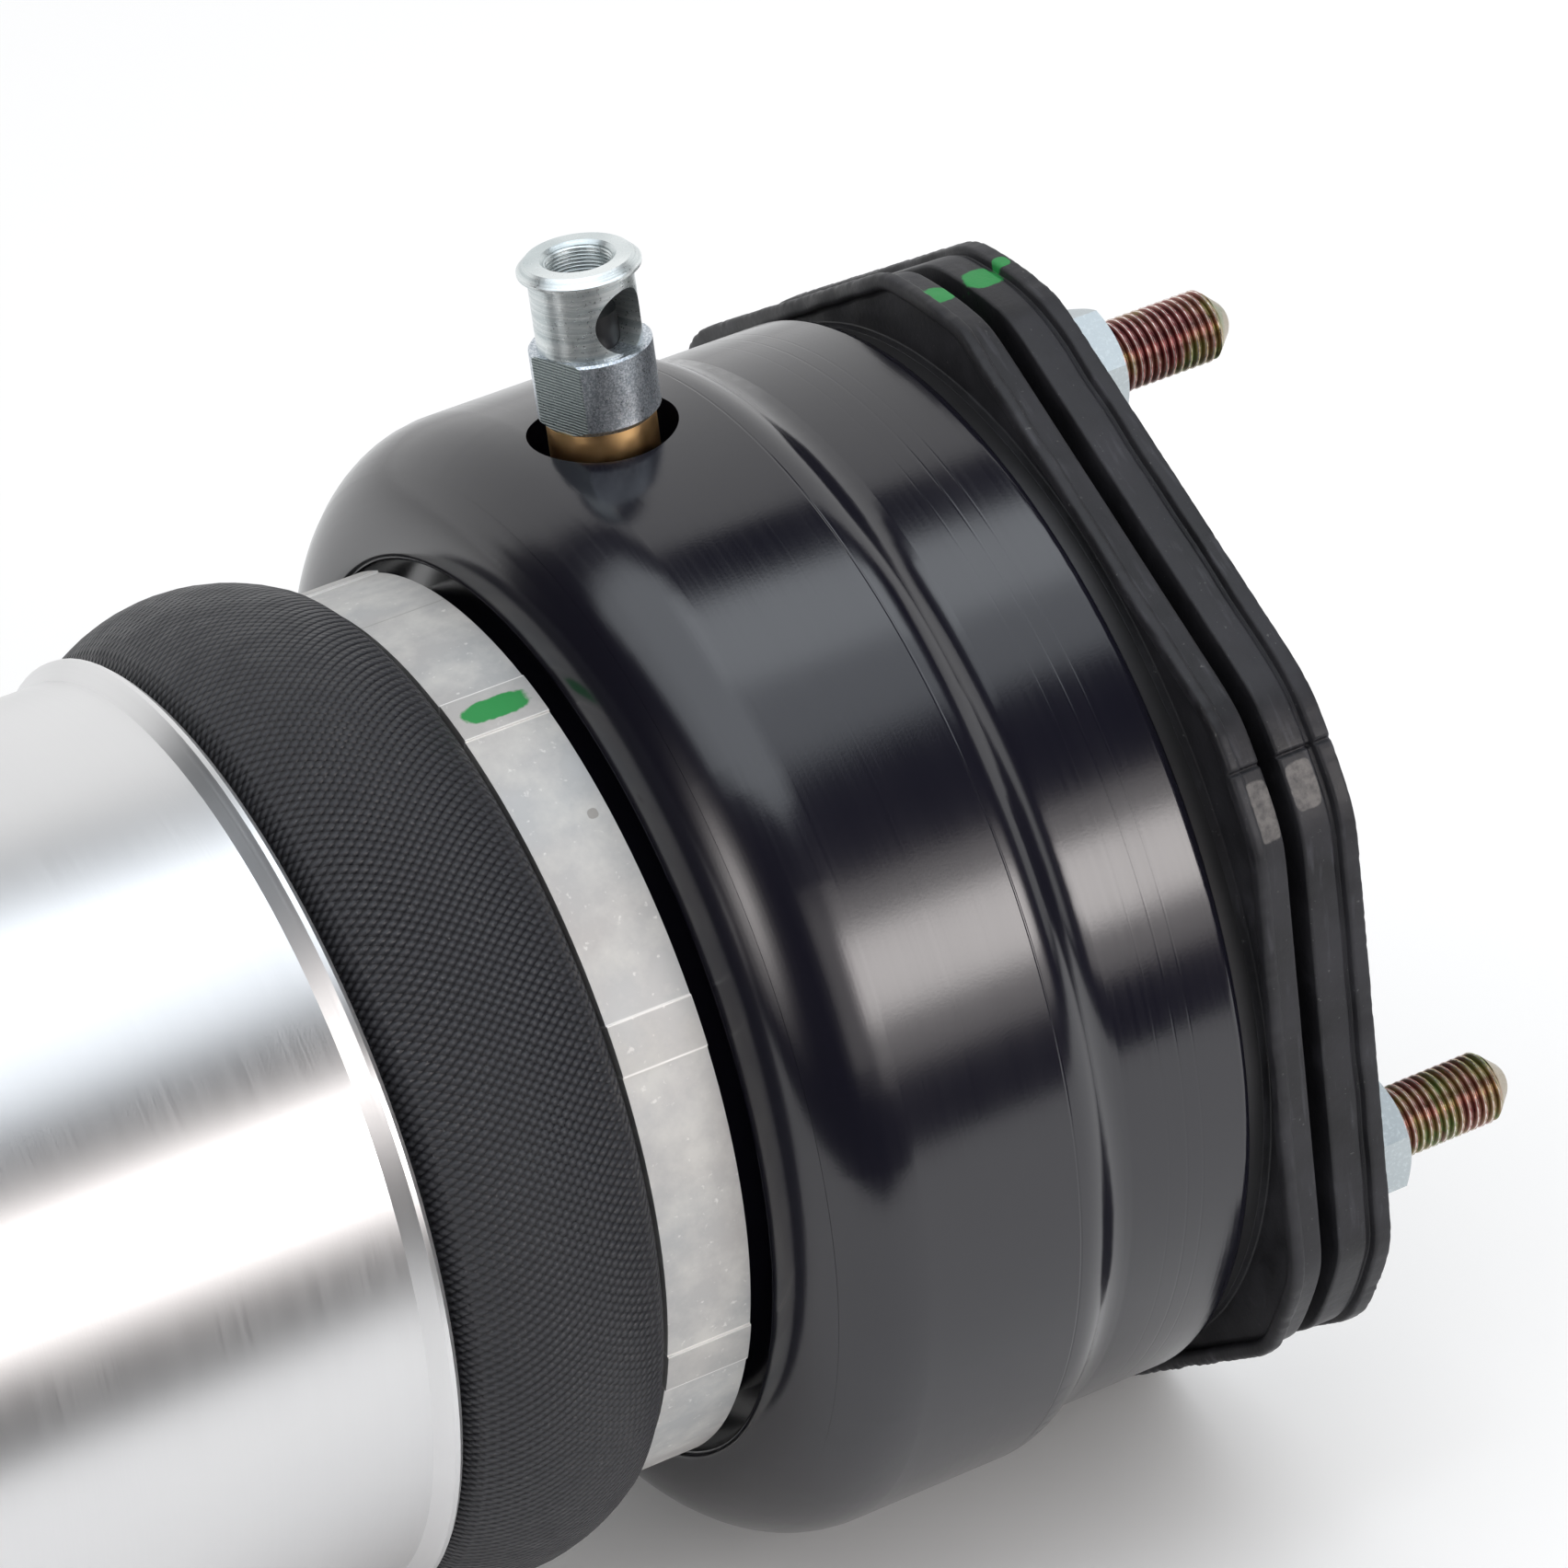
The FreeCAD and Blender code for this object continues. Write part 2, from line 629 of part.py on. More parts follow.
# Air spring bellows: clamped neck, cardanic fold, wall leg and rolling lobe in one sleeve
def bellows():
    neck_mid = NECK_R + FIT + BELLOWS_T / 2
    wall_mid = GUIDE_IN_R - FIT - BELLOWS_T / 2
    leg_mid = PISTON_R + ROLL_GAP + BELLOWS_T / 2
    tail_mid = PISTON_NECK_R + FIT + BELLOWS_T / 2
    crown = FOLD_R - BELLOWS_T / 2
    x_mid = (X_RING_LOW + X_RIM) / 2
    half = FOLD_GAP / 2 - FOLD_CLEAR - BELLOWS_T / 2
    hip_r = neck_mid + (crown - neck_mid) * FOLD_HIP_RISE
    hip_x = half * FOLD_HIP_REACH
    side_x = half * FOLD_SIDE_REACH
    side_r = (neck_mid + hip_r) / 2 + FOLD_SIDE_LIFT
    lobe_r = (wall_mid - leg_mid) / 2
    lobe_mid = (wall_mid + leg_mid) / 2
    cone_angle = math.atan2(PISTON_R - PISTON_NECK_R, PISTON_CONE_LEN)
    shift = (leg_mid - PISTON_R) * math.tan(cone_angle / 2)
    x_cone_top = X_PISTON_TOP - PISTON_NECK_LEN + shift
    x_cone_low = x_cone_top - PISTON_CONE_LEN
    return skin((X_RING_TOP + FIT, neck_mid), [
        (x_mid + half, neck_mid),
        (x_mid + side_x, side_r, x_mid + hip_x, hip_r),
        (x_mid, crown, x_mid - hip_x, hip_r),
        (x_mid - side_x, side_r, x_mid - half, wall_mid),
        (X_LOBE, wall_mid),
        (X_LOBE - lobe_r, lobe_mid, X_LOBE, leg_mid),
        (x_cone_low, leg_mid),
        (x_cone_top, tail_mid),
        (X_PISTON_TOP, tail_mid),
    ], BELLOWS_T)


# Guide tube with its flared and rimmed mouth
def guide_tube():
    x_flare = X_RIM - RIM_W - FLARE_LEN
    return lathe((X_RIM, RIM_R - RIM_EDGE), [
        (X_RIM - RIM_EDGE, RIM_R),
        (X_RIM - RIM_W, RIM_R),
        (x_flare, GUIDE_R),
        (X_GUIDE_END, GUIDE_R),
        (X_GUIDE_END, GUIDE_IN_R),
        (x_flare - RIM_EDGE, GUIDE_IN_R),
        (X_RIM - RIM_W - RIM_EDGE, GUIDE_IN_R + RIM_R - GUIDE_R),
        (X_RIM, GUIDE_IN_R + RIM_R - GUIDE_R),
    ])


def guide_clamp_ring():
    outer = GUIDE_IN_R - BELLOWS_T - 2 * FIT
    x_top = X_RIM - CLAMP_FROM_RIM
    return sleeve(x_top - CLAMP_W, x_top, outer - CLAMP_WALL, outer)


# Top bush
def bush_shell():
    return sleeve(X_BUSH_LOW, X_TOP, BUSH_R - BUSH_SHELL_T, BUSH_R - RUNNING)


def bush_rubber():
    x_low = X_BUSH_LOW + BUSH_RUBBER_INSET
    x_high = X_TOP - BUSH_RUBBER_INSET
    r_in = BUSH_SLEEVE_R
    r_out = BUSH_R - BUSH_SHELL_T
    r_mid = (r_in + r_out) / 2
    return lathe((x_low, r_in), [
        (x_low + BUSH_RUBBER_DISH, r_mid, x_low, r_out),
        (x_high, r_out),
        (x_high - BUSH_RUBBER_DISH, r_mid, x_high, r_in),
    ])


def bush_sleeve():
    return sleeve(X_SLEEVE_LOW, X_SLEEVE_TOP, ROD_TOP_R + RUNNING, BUSH_SLEEVE_R)


def rod_washer():
    return sleeve(X_SLEEVE_TOP, X_ROD_NUT, ROD_TOP_R + RUNNING, WASHER_R)


def rod_nut():
    return hex_nut(X_ROD_NUT, ROD_NUT_T, ROD_NUT_FLATS, ROD_TOP_R + RUNNING)


def piston_rod():
    x_end = X_ROD_NUT + ROD_NUT_T + ROD_END
    return lathe((X_ROD_LOW, 0), [
        (X_ROD_LOW, ROD_R),
        (X_STOP_TOP, ROD_R),
        (X_STOP_TOP, ROD_TOP_R),
        (x_end - ROD_TIP, ROD_TOP_R),
        (x_end, ROD_TOP_R - ROD_TIP),
        (x_end, 0),
    ])


def bump_stop_cup():
    """Dished steel washer that the stop is seated in."""
    rim_r = STOP_R + STOP_CUP_T
    x_rim = X_STOP_TOP - 2 * STOP_CUP_T
    return lathe((X_SLEEVE_LOW, ROD_TOP_R + RUNNING), [
        (X_SLEEVE_LOW, rim_r - STOP_CUP_T),
        (X_STOP_TOP, rim_r),
        (x_rim, rim_r),
        (x_rim, STOP_R + FIT),
        (X_STOP_TOP, STOP_R + FIT),
        (X_STOP_TOP, ROD_TOP_R + RUNNING),
    ])


def bump_stop():
    """Foam stop with rounded waists down its length."""
    bore = ROD_R + FIT
    pitch = STOP_LEN / (STOP_RIBS + STOP_FOOT_SHARE)
    x = X_STOP_TOP
    steps = [(x, STOP_R)]
    for k in range(STOP_RIBS):
        x_next = x - pitch
        crest = STOP_R - STOP_TAPER * (k + 1)
        steps.append((x - pitch * STOP_LAND_SHARE, crest + STOP_TAPER))
        steps.append((x - pitch * STOP_WAIST_SHARE, crest - STOP_WAIST, x_next, crest))
        x = x_next
    steps.append((X_STOP_LOW, STOP_R - STOP_TAPER * STOP_RIBS - STOP_FOOT))
    steps.append((X_STOP_LOW, bore))
    return lathe((X_STOP_TOP, bore), steps)


# Damper
def damper_tube():
    inner = DAMPER_R - DAMPER_WALL
    return sleeve(X_DAMPER_LOW, X_DAMPER_TOP, inner, DAMPER_R)


def damper_gland():
    inner = DAMPER_R - DAMPER_WALL - RUNNING
    x_low = X_DAMPER_TOP - GLAND_T
    x_cap = X_DAMPER_TOP + SEAL_T / 2
    seal_r = ROD_R + ROD_SEAL_WALL
    return lathe((x_low, ROD_R + RUNNING), [
        (x_low, inner),
        (X_DAMPER_TOP, inner),
        (X_DAMPER_TOP, DAMPER_R),
        (x_cap, DAMPER_R - GLAND_EDGE),
        (x_cap, seal_r),
        (X_DAMPER_TOP, seal_r),
        (X_DAMPER_TOP, ROD_R + RUNNING),
    ])


def rod_seal():
    return sleeve(X_DAMPER_TOP, X_DAMPER_TOP + SEAL_T, ROD_R + RUNNING, ROD_R + ROD_SEAL_WALL - RUNNING)


def damper_piston():
    """Valve disc on the rod with a ring of oil passages."""
    outer = DAMPER_R - DAMPER_WALL - RUNNING
    disc = bar(X_ROD_LOW - VALVE_PISTON_T, X_ROD_LOW, outer)
    hole = bar(X_ROD_LOW - VALVE_PISTON_T - OVER, X_ROD_LOW + OVER, OIL_HOLE_R)
    hole.translate(V(0, OIL_HOLE_RING_R, 0))
    for piece in around(hole, OIL_HOLE_COUNT, 0):
        disc = disc.cut(piece)
    return disc


def rolling_piston():
    """Moulded cup that the lobe rolls on: neck, cone, barrel and drawn-in foot."""
    x0 = X_PISTON_TOP
    x1 = x0 - PISTON_NECK_LEN
    x2 = x1 - PISTON_CONE_LEN
    x4 = x0 - PISTON_LEN
    x3 = x4 + PISTON_FOOT_LEN
    bore = DAMPER_R + RUNNING
    w = PISTON_WALL
    steps = [
        (x1, PISTON_NECK_R),
        (x2, PISTON_R),
        (x3, PISTON_R),
    ]
    steps += s_curve(x3, PISTON_R, x4, PISTON_FOOT_R)
    steps += [
        (x4, PISTON_FOOT_R - w),
    ]
    steps += s_curve(x4, PISTON_FOOT_R - w, x3, PISTON_R - w)
    steps += [
        (x2, PISTON_R - w),
        (x1, PISTON_NECK_R - w),
        (x0 - PISTON_HEAD_T, PISTON_NECK_R - w),
        (x0 - PISTON_HEAD_T, bore + w),
        (x0 - PISTON_HUB_LEN, bore + w),
        (x0 - PISTON_HUB_LEN, bore),
        (x0, bore),
    ]
    return lathe((x0, PISTON_NECK_R), steps)


def piston_clamp_ring():
    inner = PISTON_NECK_R + BELLOWS_T + 2 * FIT
    x_top = X_PISTON_TOP - FIT
    return sleeve(x_top - PISTON_CLAMP_W, x_top, inner, inner + PISTON_CLAMP_T)


# Dust boot between the guide tube and the damper
def boot_x(k):
    """Station of the k-th fold valley below the guide tube."""
    return X_GUIDE_END - BOOT_T - BOOT_PITCH * k


def dust_boot():
    top_mid = GUIDE_R + FIT + BOOT_T / 2
    low_mid = DAMPER_R + FIT + BOOT_T / 2
    quarter = BOOT_PITCH / 4
    steps = [(X_GUIDE_END - BOOT_T, top_mid)]
    for k in range(BOOT_FOLDS):
        share = (k + 1) / BOOT_FOLDS
        crest = BOOT_R_TOP + (BOOT_R_LOW - BOOT_R_TOP) * (k + 0.5) / BOOT_FOLDS
        valley = BOOT_R_TOP + (BOOT_R_LOW - BOOT_R_TOP) * share - BOOT_FOLD_DEPTH
        x0 = boot_x(k)
        if k == 0:
            steps.append((x0 - quarter, crest - BOOT_FOLD_DEPTH))
        steps.append((x0 - 2 * quarter, crest))
        steps.append((x0 - 3 * quarter, crest))
        steps.append((x0 - BOOT_PITCH, valley))
        if k < BOOT_FOLDS - 1:
            steps.append((x0 - 5 * quarter, valley))
    x_end = boot_x(BOOT_FOLDS) - BOOT_PITCH / 2
    steps.append((x_end, low_mid))
    steps.append((x_end - BOOT_COLLAR, low_mid))
    return skin((X_GUIDE_END + BOOT_TUCK, top_mid), steps, BOOT_T)


def boot_upper_band():
    inner = GUIDE_R + BOOT_T + 2 * FIT
    x_mid = X_GUIDE_END + BOOT_TUCK / 2
    return sleeve(x_mid - BAND_W / 2, x_mid + BAND_W / 2, inner, inner + BAND_T)


def boot_lower_band():
    inner = DAMPER_R + BOOT_T + 2 * FIT
    x_mid = boot_x(BOOT_FOLDS) - (BOOT_PITCH + BOOT_COLLAR) / 2
    return sleeve(x_mid - BAND_W / 2, x_mid + BAND_W / 2, inner, inner + BAND_T)


# Lower eye with its bonded bush
def across(shape):
    """Turns a shape built along X so that it runs along Y at the eye."""
    placed = shape.copy()
    placed.rotate(V(0, 0, 0), V(0, 0, 1), 90)
    placed.translate(V(X_EYE, 0, 0))
    return placed


def lower_eye():
    half = EYE_W / 2
    hoop = lathe((-half, 0), [
        (-half, EYE_R - EYE_EDGE),
        (-half + EYE_EDGE, EYE_R),
        (half - EYE_EDGE, EYE_R),
        (half, EYE_R - EYE_EDGE),
        (half, 0),
    ])
    eye = across(hoop)
    foot = X_DAMPER_LOW - EYE_FLANGE_T
    stem = lathe((X_DAMPER_LOW, 0), [
        (X_DAMPER_LOW, DAMPER_R),
        (foot, DAMPER_R),
        (foot - EYE_FLANGE_EDGE, EYE_STEM_R + EYE_STEM_FLARE, X_EYE + EYE_STEM_START, EYE_STEM_R),
        (X_EYE, EYE_STEM_R),
        (X_EYE, 0),
    ])
    eye = eye.fuse(stem)
    bore = across(bar(-half - OVER, half + OVER, EYE_BORE_R))
    return eye.cut(bore).removeSplitter()


def lower_bush_rubber():
    half = EYE_W / 2 - EYE_BUSH_INSET
    outer = EYE_BORE_R - RUNNING
    mid = (EYE_SLEEVE_R + outer) / 2
    return across(lathe((-half, EYE_SLEEVE_R + RUNNING), [
        (-half + EYE_BUSH_INSET, mid, -half, outer),
        (half, outer),
        (half - EYE_BUSH_INSET, mid, half, EYE_SLEEVE_R + RUNNING),
    ]))


def lower_bush_sleeve():
    half = EYE_W / 2 + EYE_SLEEVE_OVER
    return across(sleeve(-half, half, EYE_BOLT_R, EYE_SLEEVE_R))


def save(name, shape):
    shape.exportStep("parts/" + name + ".step")


PIECES = {
    "canister": canister,
    "port_boss": port_boss,
    "bush_housing": bush_housing,
    "base_plate": base_plate,
    "mount_rubber": mount_rubber,
    "stud_plate": stud_plate,
    "fitting_collar": fitting_collar,
    "fitting_body": fitting_body,
    "fitting_seal": fitting_seal,
    "crimp_ring": crimp_ring,
    "bellows": bellows,
    "guide_tube": guide_tube,
    "guide_clamp_ring": guide_clamp_ring,
    "bush_shell": bush_shell,
    "bush_rubber": bush_rubber,
    "bush_sleeve": bush_sleeve,
    "rod_washer": rod_washer,
    "rod_nut": rod_nut,
    "piston_rod": piston_rod,
    "bump_stop_cup": bump_stop_cup,
    "bump_stop": bump_stop,
    "damper_tube": damper_tube,
    "damper_gland": damper_gland,
    "rod_seal": rod_seal,
    "damper_piston": damper_piston,
    "rolling_piston": rolling_piston,
    "piston_clamp_ring": piston_clamp_ring,
    "dust_boot": dust_boot,
    "boot_upper_band": boot_upper_band,
    "boot_lower_band": boot_lower_band,
    "lower_eye": lower_eye,
    "lower_bush_rubber": lower_bush_rubber,
    "lower_bush_sleeve": lower_bush_sleeve,
}

for name, make in PIECES.items():
    save(name, make())

nut = hex_nut(X_SEAT, NUT_T, NUT_FLATS, STUD_R + RUNNING)
nut.rotate(V(0, 0, 0), AXIS, NUT_TURN)
for number, place in enumerate(stud_positions(), 1):
    one_stud = stud()
    one_stud.translate(place)
    save("stud_%d" % number, one_stud)
    one_nut = nut.copy()
    one_nut.translate(place)
    save("nut_%d" % number, one_nut)
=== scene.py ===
import json
import math

import bpy
import numpy as np
from mathutils import Matrix, Vector


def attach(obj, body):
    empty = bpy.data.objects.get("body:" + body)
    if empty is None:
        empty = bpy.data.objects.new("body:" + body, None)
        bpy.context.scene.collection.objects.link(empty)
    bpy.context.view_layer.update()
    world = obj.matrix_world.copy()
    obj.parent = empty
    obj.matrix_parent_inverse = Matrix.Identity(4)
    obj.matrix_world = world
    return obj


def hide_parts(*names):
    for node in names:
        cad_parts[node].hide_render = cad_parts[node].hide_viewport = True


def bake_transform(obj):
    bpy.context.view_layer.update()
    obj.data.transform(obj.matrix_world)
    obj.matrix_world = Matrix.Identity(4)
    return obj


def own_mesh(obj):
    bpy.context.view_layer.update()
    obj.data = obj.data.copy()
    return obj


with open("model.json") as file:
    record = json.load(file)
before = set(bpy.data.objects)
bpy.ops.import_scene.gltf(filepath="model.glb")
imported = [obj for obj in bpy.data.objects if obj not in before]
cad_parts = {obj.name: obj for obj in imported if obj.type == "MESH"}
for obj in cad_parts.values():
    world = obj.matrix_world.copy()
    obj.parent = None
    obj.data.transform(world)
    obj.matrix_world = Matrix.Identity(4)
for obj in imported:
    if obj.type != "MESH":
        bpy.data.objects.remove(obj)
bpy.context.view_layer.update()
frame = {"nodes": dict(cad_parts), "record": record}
scene = bpy.context.scene

# Sizes in metres, in the part's frame: X runs along the strut towards the studs.
# Angles run about the strut, from +Y towards +Z.
MM = 0.001
STUD_CIRCLE = 62.9 * MM
STUD_TOP = 19.7 * MM
STUD_HEAD = (-33.6 * MM, -31.0 * MM)
STUD_R = 5.0 * MM
STUD_LEAD = 16.6 * MM
THREAD_START = -9.0 * MM
STUD_PITCH = 1.25 * MM
THREAD_DEPTH = 0.68 * MM
STUD_HEAD_R = 8.0 * MM
THREAD_RUN_OUT = 2.0 * MM
PORT_X = -73.4 * MM
PORT_ANGLE = math.radians(89.4)
PORT_THREAD = (95.2 * MM, 102.2 * MM)
PORT_BORE = 4.5 * MM
PORT_PITCH = 0.5 * MM
PORT_STEP = 90.75 * MM
FLAT_TURN = math.radians(201.0)
FLAT_OUT = 7.0 * MM
MILLED_PITCH = 0.42 * MM
CROSS_HOLE_TURN = FLAT_TURN + math.pi / 2
CROSS_HOLE_UP = 94.9 * MM
CROSS_HOLE_R = 4.6 * MM
FOLD_X = -125.9 * MM
FOLD_R = 57.5 * MM
FLOOR_Z = -83.8 * MM

# Lines scored round the canister: station in mm and depth
SCORED = ((-59.3, 1.0), (-41.2, 0.35), (-38.8, 0.3), (-44.0, 0.2))

# Crimp ring: its fine seam, one of its gaps between lands, their spacing and half the width of a gap
RING_SEAM = math.radians(88.0)
RING_GAP = math.radians(110.8)
RING_SPACING = math.radians(45.0)
RING_GAP_HALF = math.radians(3.15)

# Marks: station in mm, angle in degrees, half length in mm and half angle in radians
RING_PAINT = (-104.2, 110.8, 5.0, 0.030)
RING_PIT = (-100.6, 128.6, 0.75, 0.012)
WORN = ((-25.0, 154.6, 1.7, 0.050), (-18.4, 153.7, 2.0, 0.040))
PAINTED = ((-24.9, 92.5, 1.9, 0.028), (-18.0, 92.2, 2.6, 0.034), (-14.5, 91.6, 1.1, 0.017))
MOUNT_BAND_R = 75.2 * MM
PAINT_GREEN = (0.018, 0.23, 0.055)


# Shader helpers
def shader(name, color, rough, metal=0.0, **constants):
    """New material with one Principled shader. Returns the material."""
    mat = bpy.data.materials.new(name)
    mat.use_nodes = True
    bsdf = mat.node_tree.nodes["Principled BSDF"]
    bsdf.inputs["Base Color"].default_value = (*color, 1.0)
    bsdf.inputs["Roughness"].default_value = rough
    bsdf.inputs["Metallic"].default_value = metal
    for key, value in constants.items():
        bsdf.inputs[key.replace("_", " ")].default_value = value
    return mat


def add(mat, kind, links=(), **settings):
    """Adds a node, sets its properties and links (socket, source) pairs into it."""
    node = mat.node_tree.nodes.new("ShaderNode" + kind)
    for key, value in settings.items():
        setattr(node, key, value)
    for socket, source in links:
        if isinstance(source, (int, float, tuple)):
            node.inputs[socket].default_value = source
        else:
            mat.node_tree.links.new(source, node.inputs[socket])
    return node


def math_of(mat, operation, a, b=0.0, c=0.0):
    """Result of one math node."""
    return add(mat, "Math", [(0, a), (1, b), (2, c)], operation=operation).outputs[0]


def place(mat, scale=(1.0, 1.0, 1.0)):
    """The part's own coordinates, stretched."""
    at = add(mat, "TexCoord").outputs["Object"]
    return add(mat, "Mapping", [("Vector", at), ("Scale", scale)]).outputs[0]


def noise(mat, vector, scale, detail=3.0, rough=0.5):
    """Noise from 0 to 1."""
    links = [("Vector", vector), ("Scale", scale), ("Detail", detail), ("Roughness", rough)]
    return add(mat, "TexNoise", links).outputs["Fac"]


def ramp(mat, value, *stops):
    """Colour ramp with (position, grey or colour) stops."""
    node = add(mat, "ValToRGB", [("Fac", value)])
    bar = node.color_ramp
    while len(bar.elements) < len(stops):
        bar.elements.new(0.5)
    for element, (position, color) in zip(bar.elements, stops):
        element.position = position
        rgb = (color,) * 3 if isinstance(color, (int, float)) else color
        element.color = (*rgb, 1.0)
    return node.outputs["Color"]


def mix(mat, factor, a, b):
    """Colour a where the factor is 0 and b where it is 1."""
    node = add(mat, "Mix", data_type="RGBA")
    for socket, source in ((0, factor), (6, a), (7, b)):
        if isinstance(source, (int, float)):
            node.inputs[socket].default_value = source
        elif isinstance(source, tuple):
            node.inputs[socket].default_value = (*source, 1.0)
        else:
            mat.node_tree.links.new(source, node.inputs[socket])
    return node.outputs[2]


def wire(mat, socket, source):
    """Links a source into the material's Principled shader."""
    mat.node_tree.links.new(source, mat.node_tree.nodes["Principled BSDF"].inputs[socket])


def bumps(mat, *layers):
    """Adds bump layers of (height, strength, depth in metres), one over the other."""
    normal = None
    for height, strength, depth in layers:
        links = [("Height", height), ("Strength", strength), ("Distance", depth)]
        if normal is not None:
            links.append(("Normal", normal))
        normal = add(mat, "Bump", links).outputs[0]
    wire(mat, "Normal", normal)


def polar(mat):
    """Position along the strut, radius and angle about it."""
    at = add(mat, "SeparateXYZ", [(0, add(mat, "TexCoord").outputs["Object"])])
    x, y, z = at.outputs
    squares = math_of(mat, "ADD", math_of(mat, "MULTIPLY", y, y), math_of(mat, "MULTIPLY", z, z))
    return x, math_of(mat, "SQRT", squares), math_of(mat, "ARCTAN2", z, y)


def dab(mat, x, angle, mark, edge=0.25, power=2.6):
    """Mask of an uneven oval mark, 1 inside. A higher power squares it."""
    at_x, at_angle, half_x, half_angle = mark
    across = math_of(mat, "DIVIDE", math_of(mat, "SUBTRACT", x, at_x * MM), half_x * MM)
    along = math_of(mat, "DIVIDE", math_of(mat, "SUBTRACT", angle, math.radians(at_angle)), half_angle)
    far = math_of(mat, "ADD", math_of(mat, "POWER", math_of(mat, "ABSOLUTE", across), power),
                  math_of(mat, "POWER", math_of(mat, "ABSOLUTE", along), power))
    wobble = math_of(mat, "MULTIPLY_ADD", noise(mat, place(mat), 700.0), 0.9, -0.45)
    far = math_of(mat, "ADD", far, wobble)
    return ramp(mat, far, (1.0 - edge, 1.0), (1.0, 0.0))


def turned_lines(mat, along=2600.0, around=6.0):
    """Fine lines that a lathe tool leaves round the strut."""
    return noise(mat, place(mat, (along, around, around)), 1.0, 2.0)


def port_frame(mat):
    """Coordinates of the air fitting, Z along its own axis."""
    at = add(mat, "TexCoord").outputs["Object"]
    turn = (PORT_ANGLE - math.pi / 2, 0.0, 0.0)
    centre = (PORT_X, 0.0, 0.0)
    return add(mat, "VectorRotate", [("Vector", at), ("Center", centre), ("Rotation", turn)],
               rotation_type="EULER_XYZ", invert=True).outputs[0]


def port_lines(mat, along):
    """Stretched coordinates for fine lines round the air fitting."""
    return add(mat, "Mapping", [("Vector", port_frame(mat)), ("Scale", (40.0, 40.0, along))]).outputs[0]


# Materials, one per finish
def black_aluminium():
    """Turned and black anodised: fine lines round the strut and a few scored ones."""
    mat = shader("black_aluminium", (0.006, 0.006, 0.009), 0.16, IOR=1.64)
    lines = turned_lines(mat)
    grain = noise(mat, place(mat), 2600.0, 2.0)
    broad = noise(mat, place(mat, (60.0, 14.0, 14.0)), 1.0, 3.0)
    mottled = math_of(mat, "ADD", math_of(mat, "MULTIPLY", lines, 0.5), math_of(mat, "MULTIPLY", broad, 0.5))
    wire(mat, "Roughness", ramp(mat, mottled, (0.3, 0.13), (0.72, 0.2)))
    wire(mat, "Base Color", mix(mat, broad, (0.0045, 0.0045, 0.009), (0.0075, 0.007, 0.0115)))
    x, radius, angle = polar(mat)
    scored = None
    for at_x, depth in SCORED:
        off = math_of(mat, "ABSOLUTE", math_of(mat, "SUBTRACT", x, at_x * MM))
        groove = ramp(mat, math_of(mat, "MULTIPLY", off, 1000.0), (0.05, depth), (0.2, 0.0))
        scored = groove if scored is None else math_of(mat, "MAXIMUM", scored, groove)
    height = math_of(mat, "SUBTRACT", 1.0, scored)
    bumps(mat, (grain, 0.04, 0.0001), (lines, 0.10, 0.00006), (height, 0.5, 0.0001))
    return mat


def bright_aluminium():
    """Fine turned tube whose lines stretch reflections along the strut."""
    mat = shader("bright_aluminium", (0.75, 0.75, 0.755), 0.34, 1.0,
                 Anisotropic=0.6, Anisotropic_Rotation=0.25)
    wire(mat, "Tangent", add(mat, "Tangent", direction_type="RADIAL", axis="X").outputs[0])
    lines = turned_lines(mat, 3200.0, 4.0)
    grain = noise(mat, place(mat), 3000.0, 2.0)
    cloud = noise(mat, place(mat), 55.0, 3.0)
    mottled = math_of(mat, "ADD", lines, math_of(mat, "MULTIPLY", cloud, 0.4))
    wire(mat, "Roughness", ramp(mat, mottled, (0.35, 0.31), (0.95, 0.39)))
    wire(mat, "Base Color", mix(mat, cloud, (0.73, 0.73, 0.74), (0.77, 0.77, 0.77)))
    bumps(mat, (lines, 0.10, 0.00005), (grain, 0.05, 0.00005))
    return mat


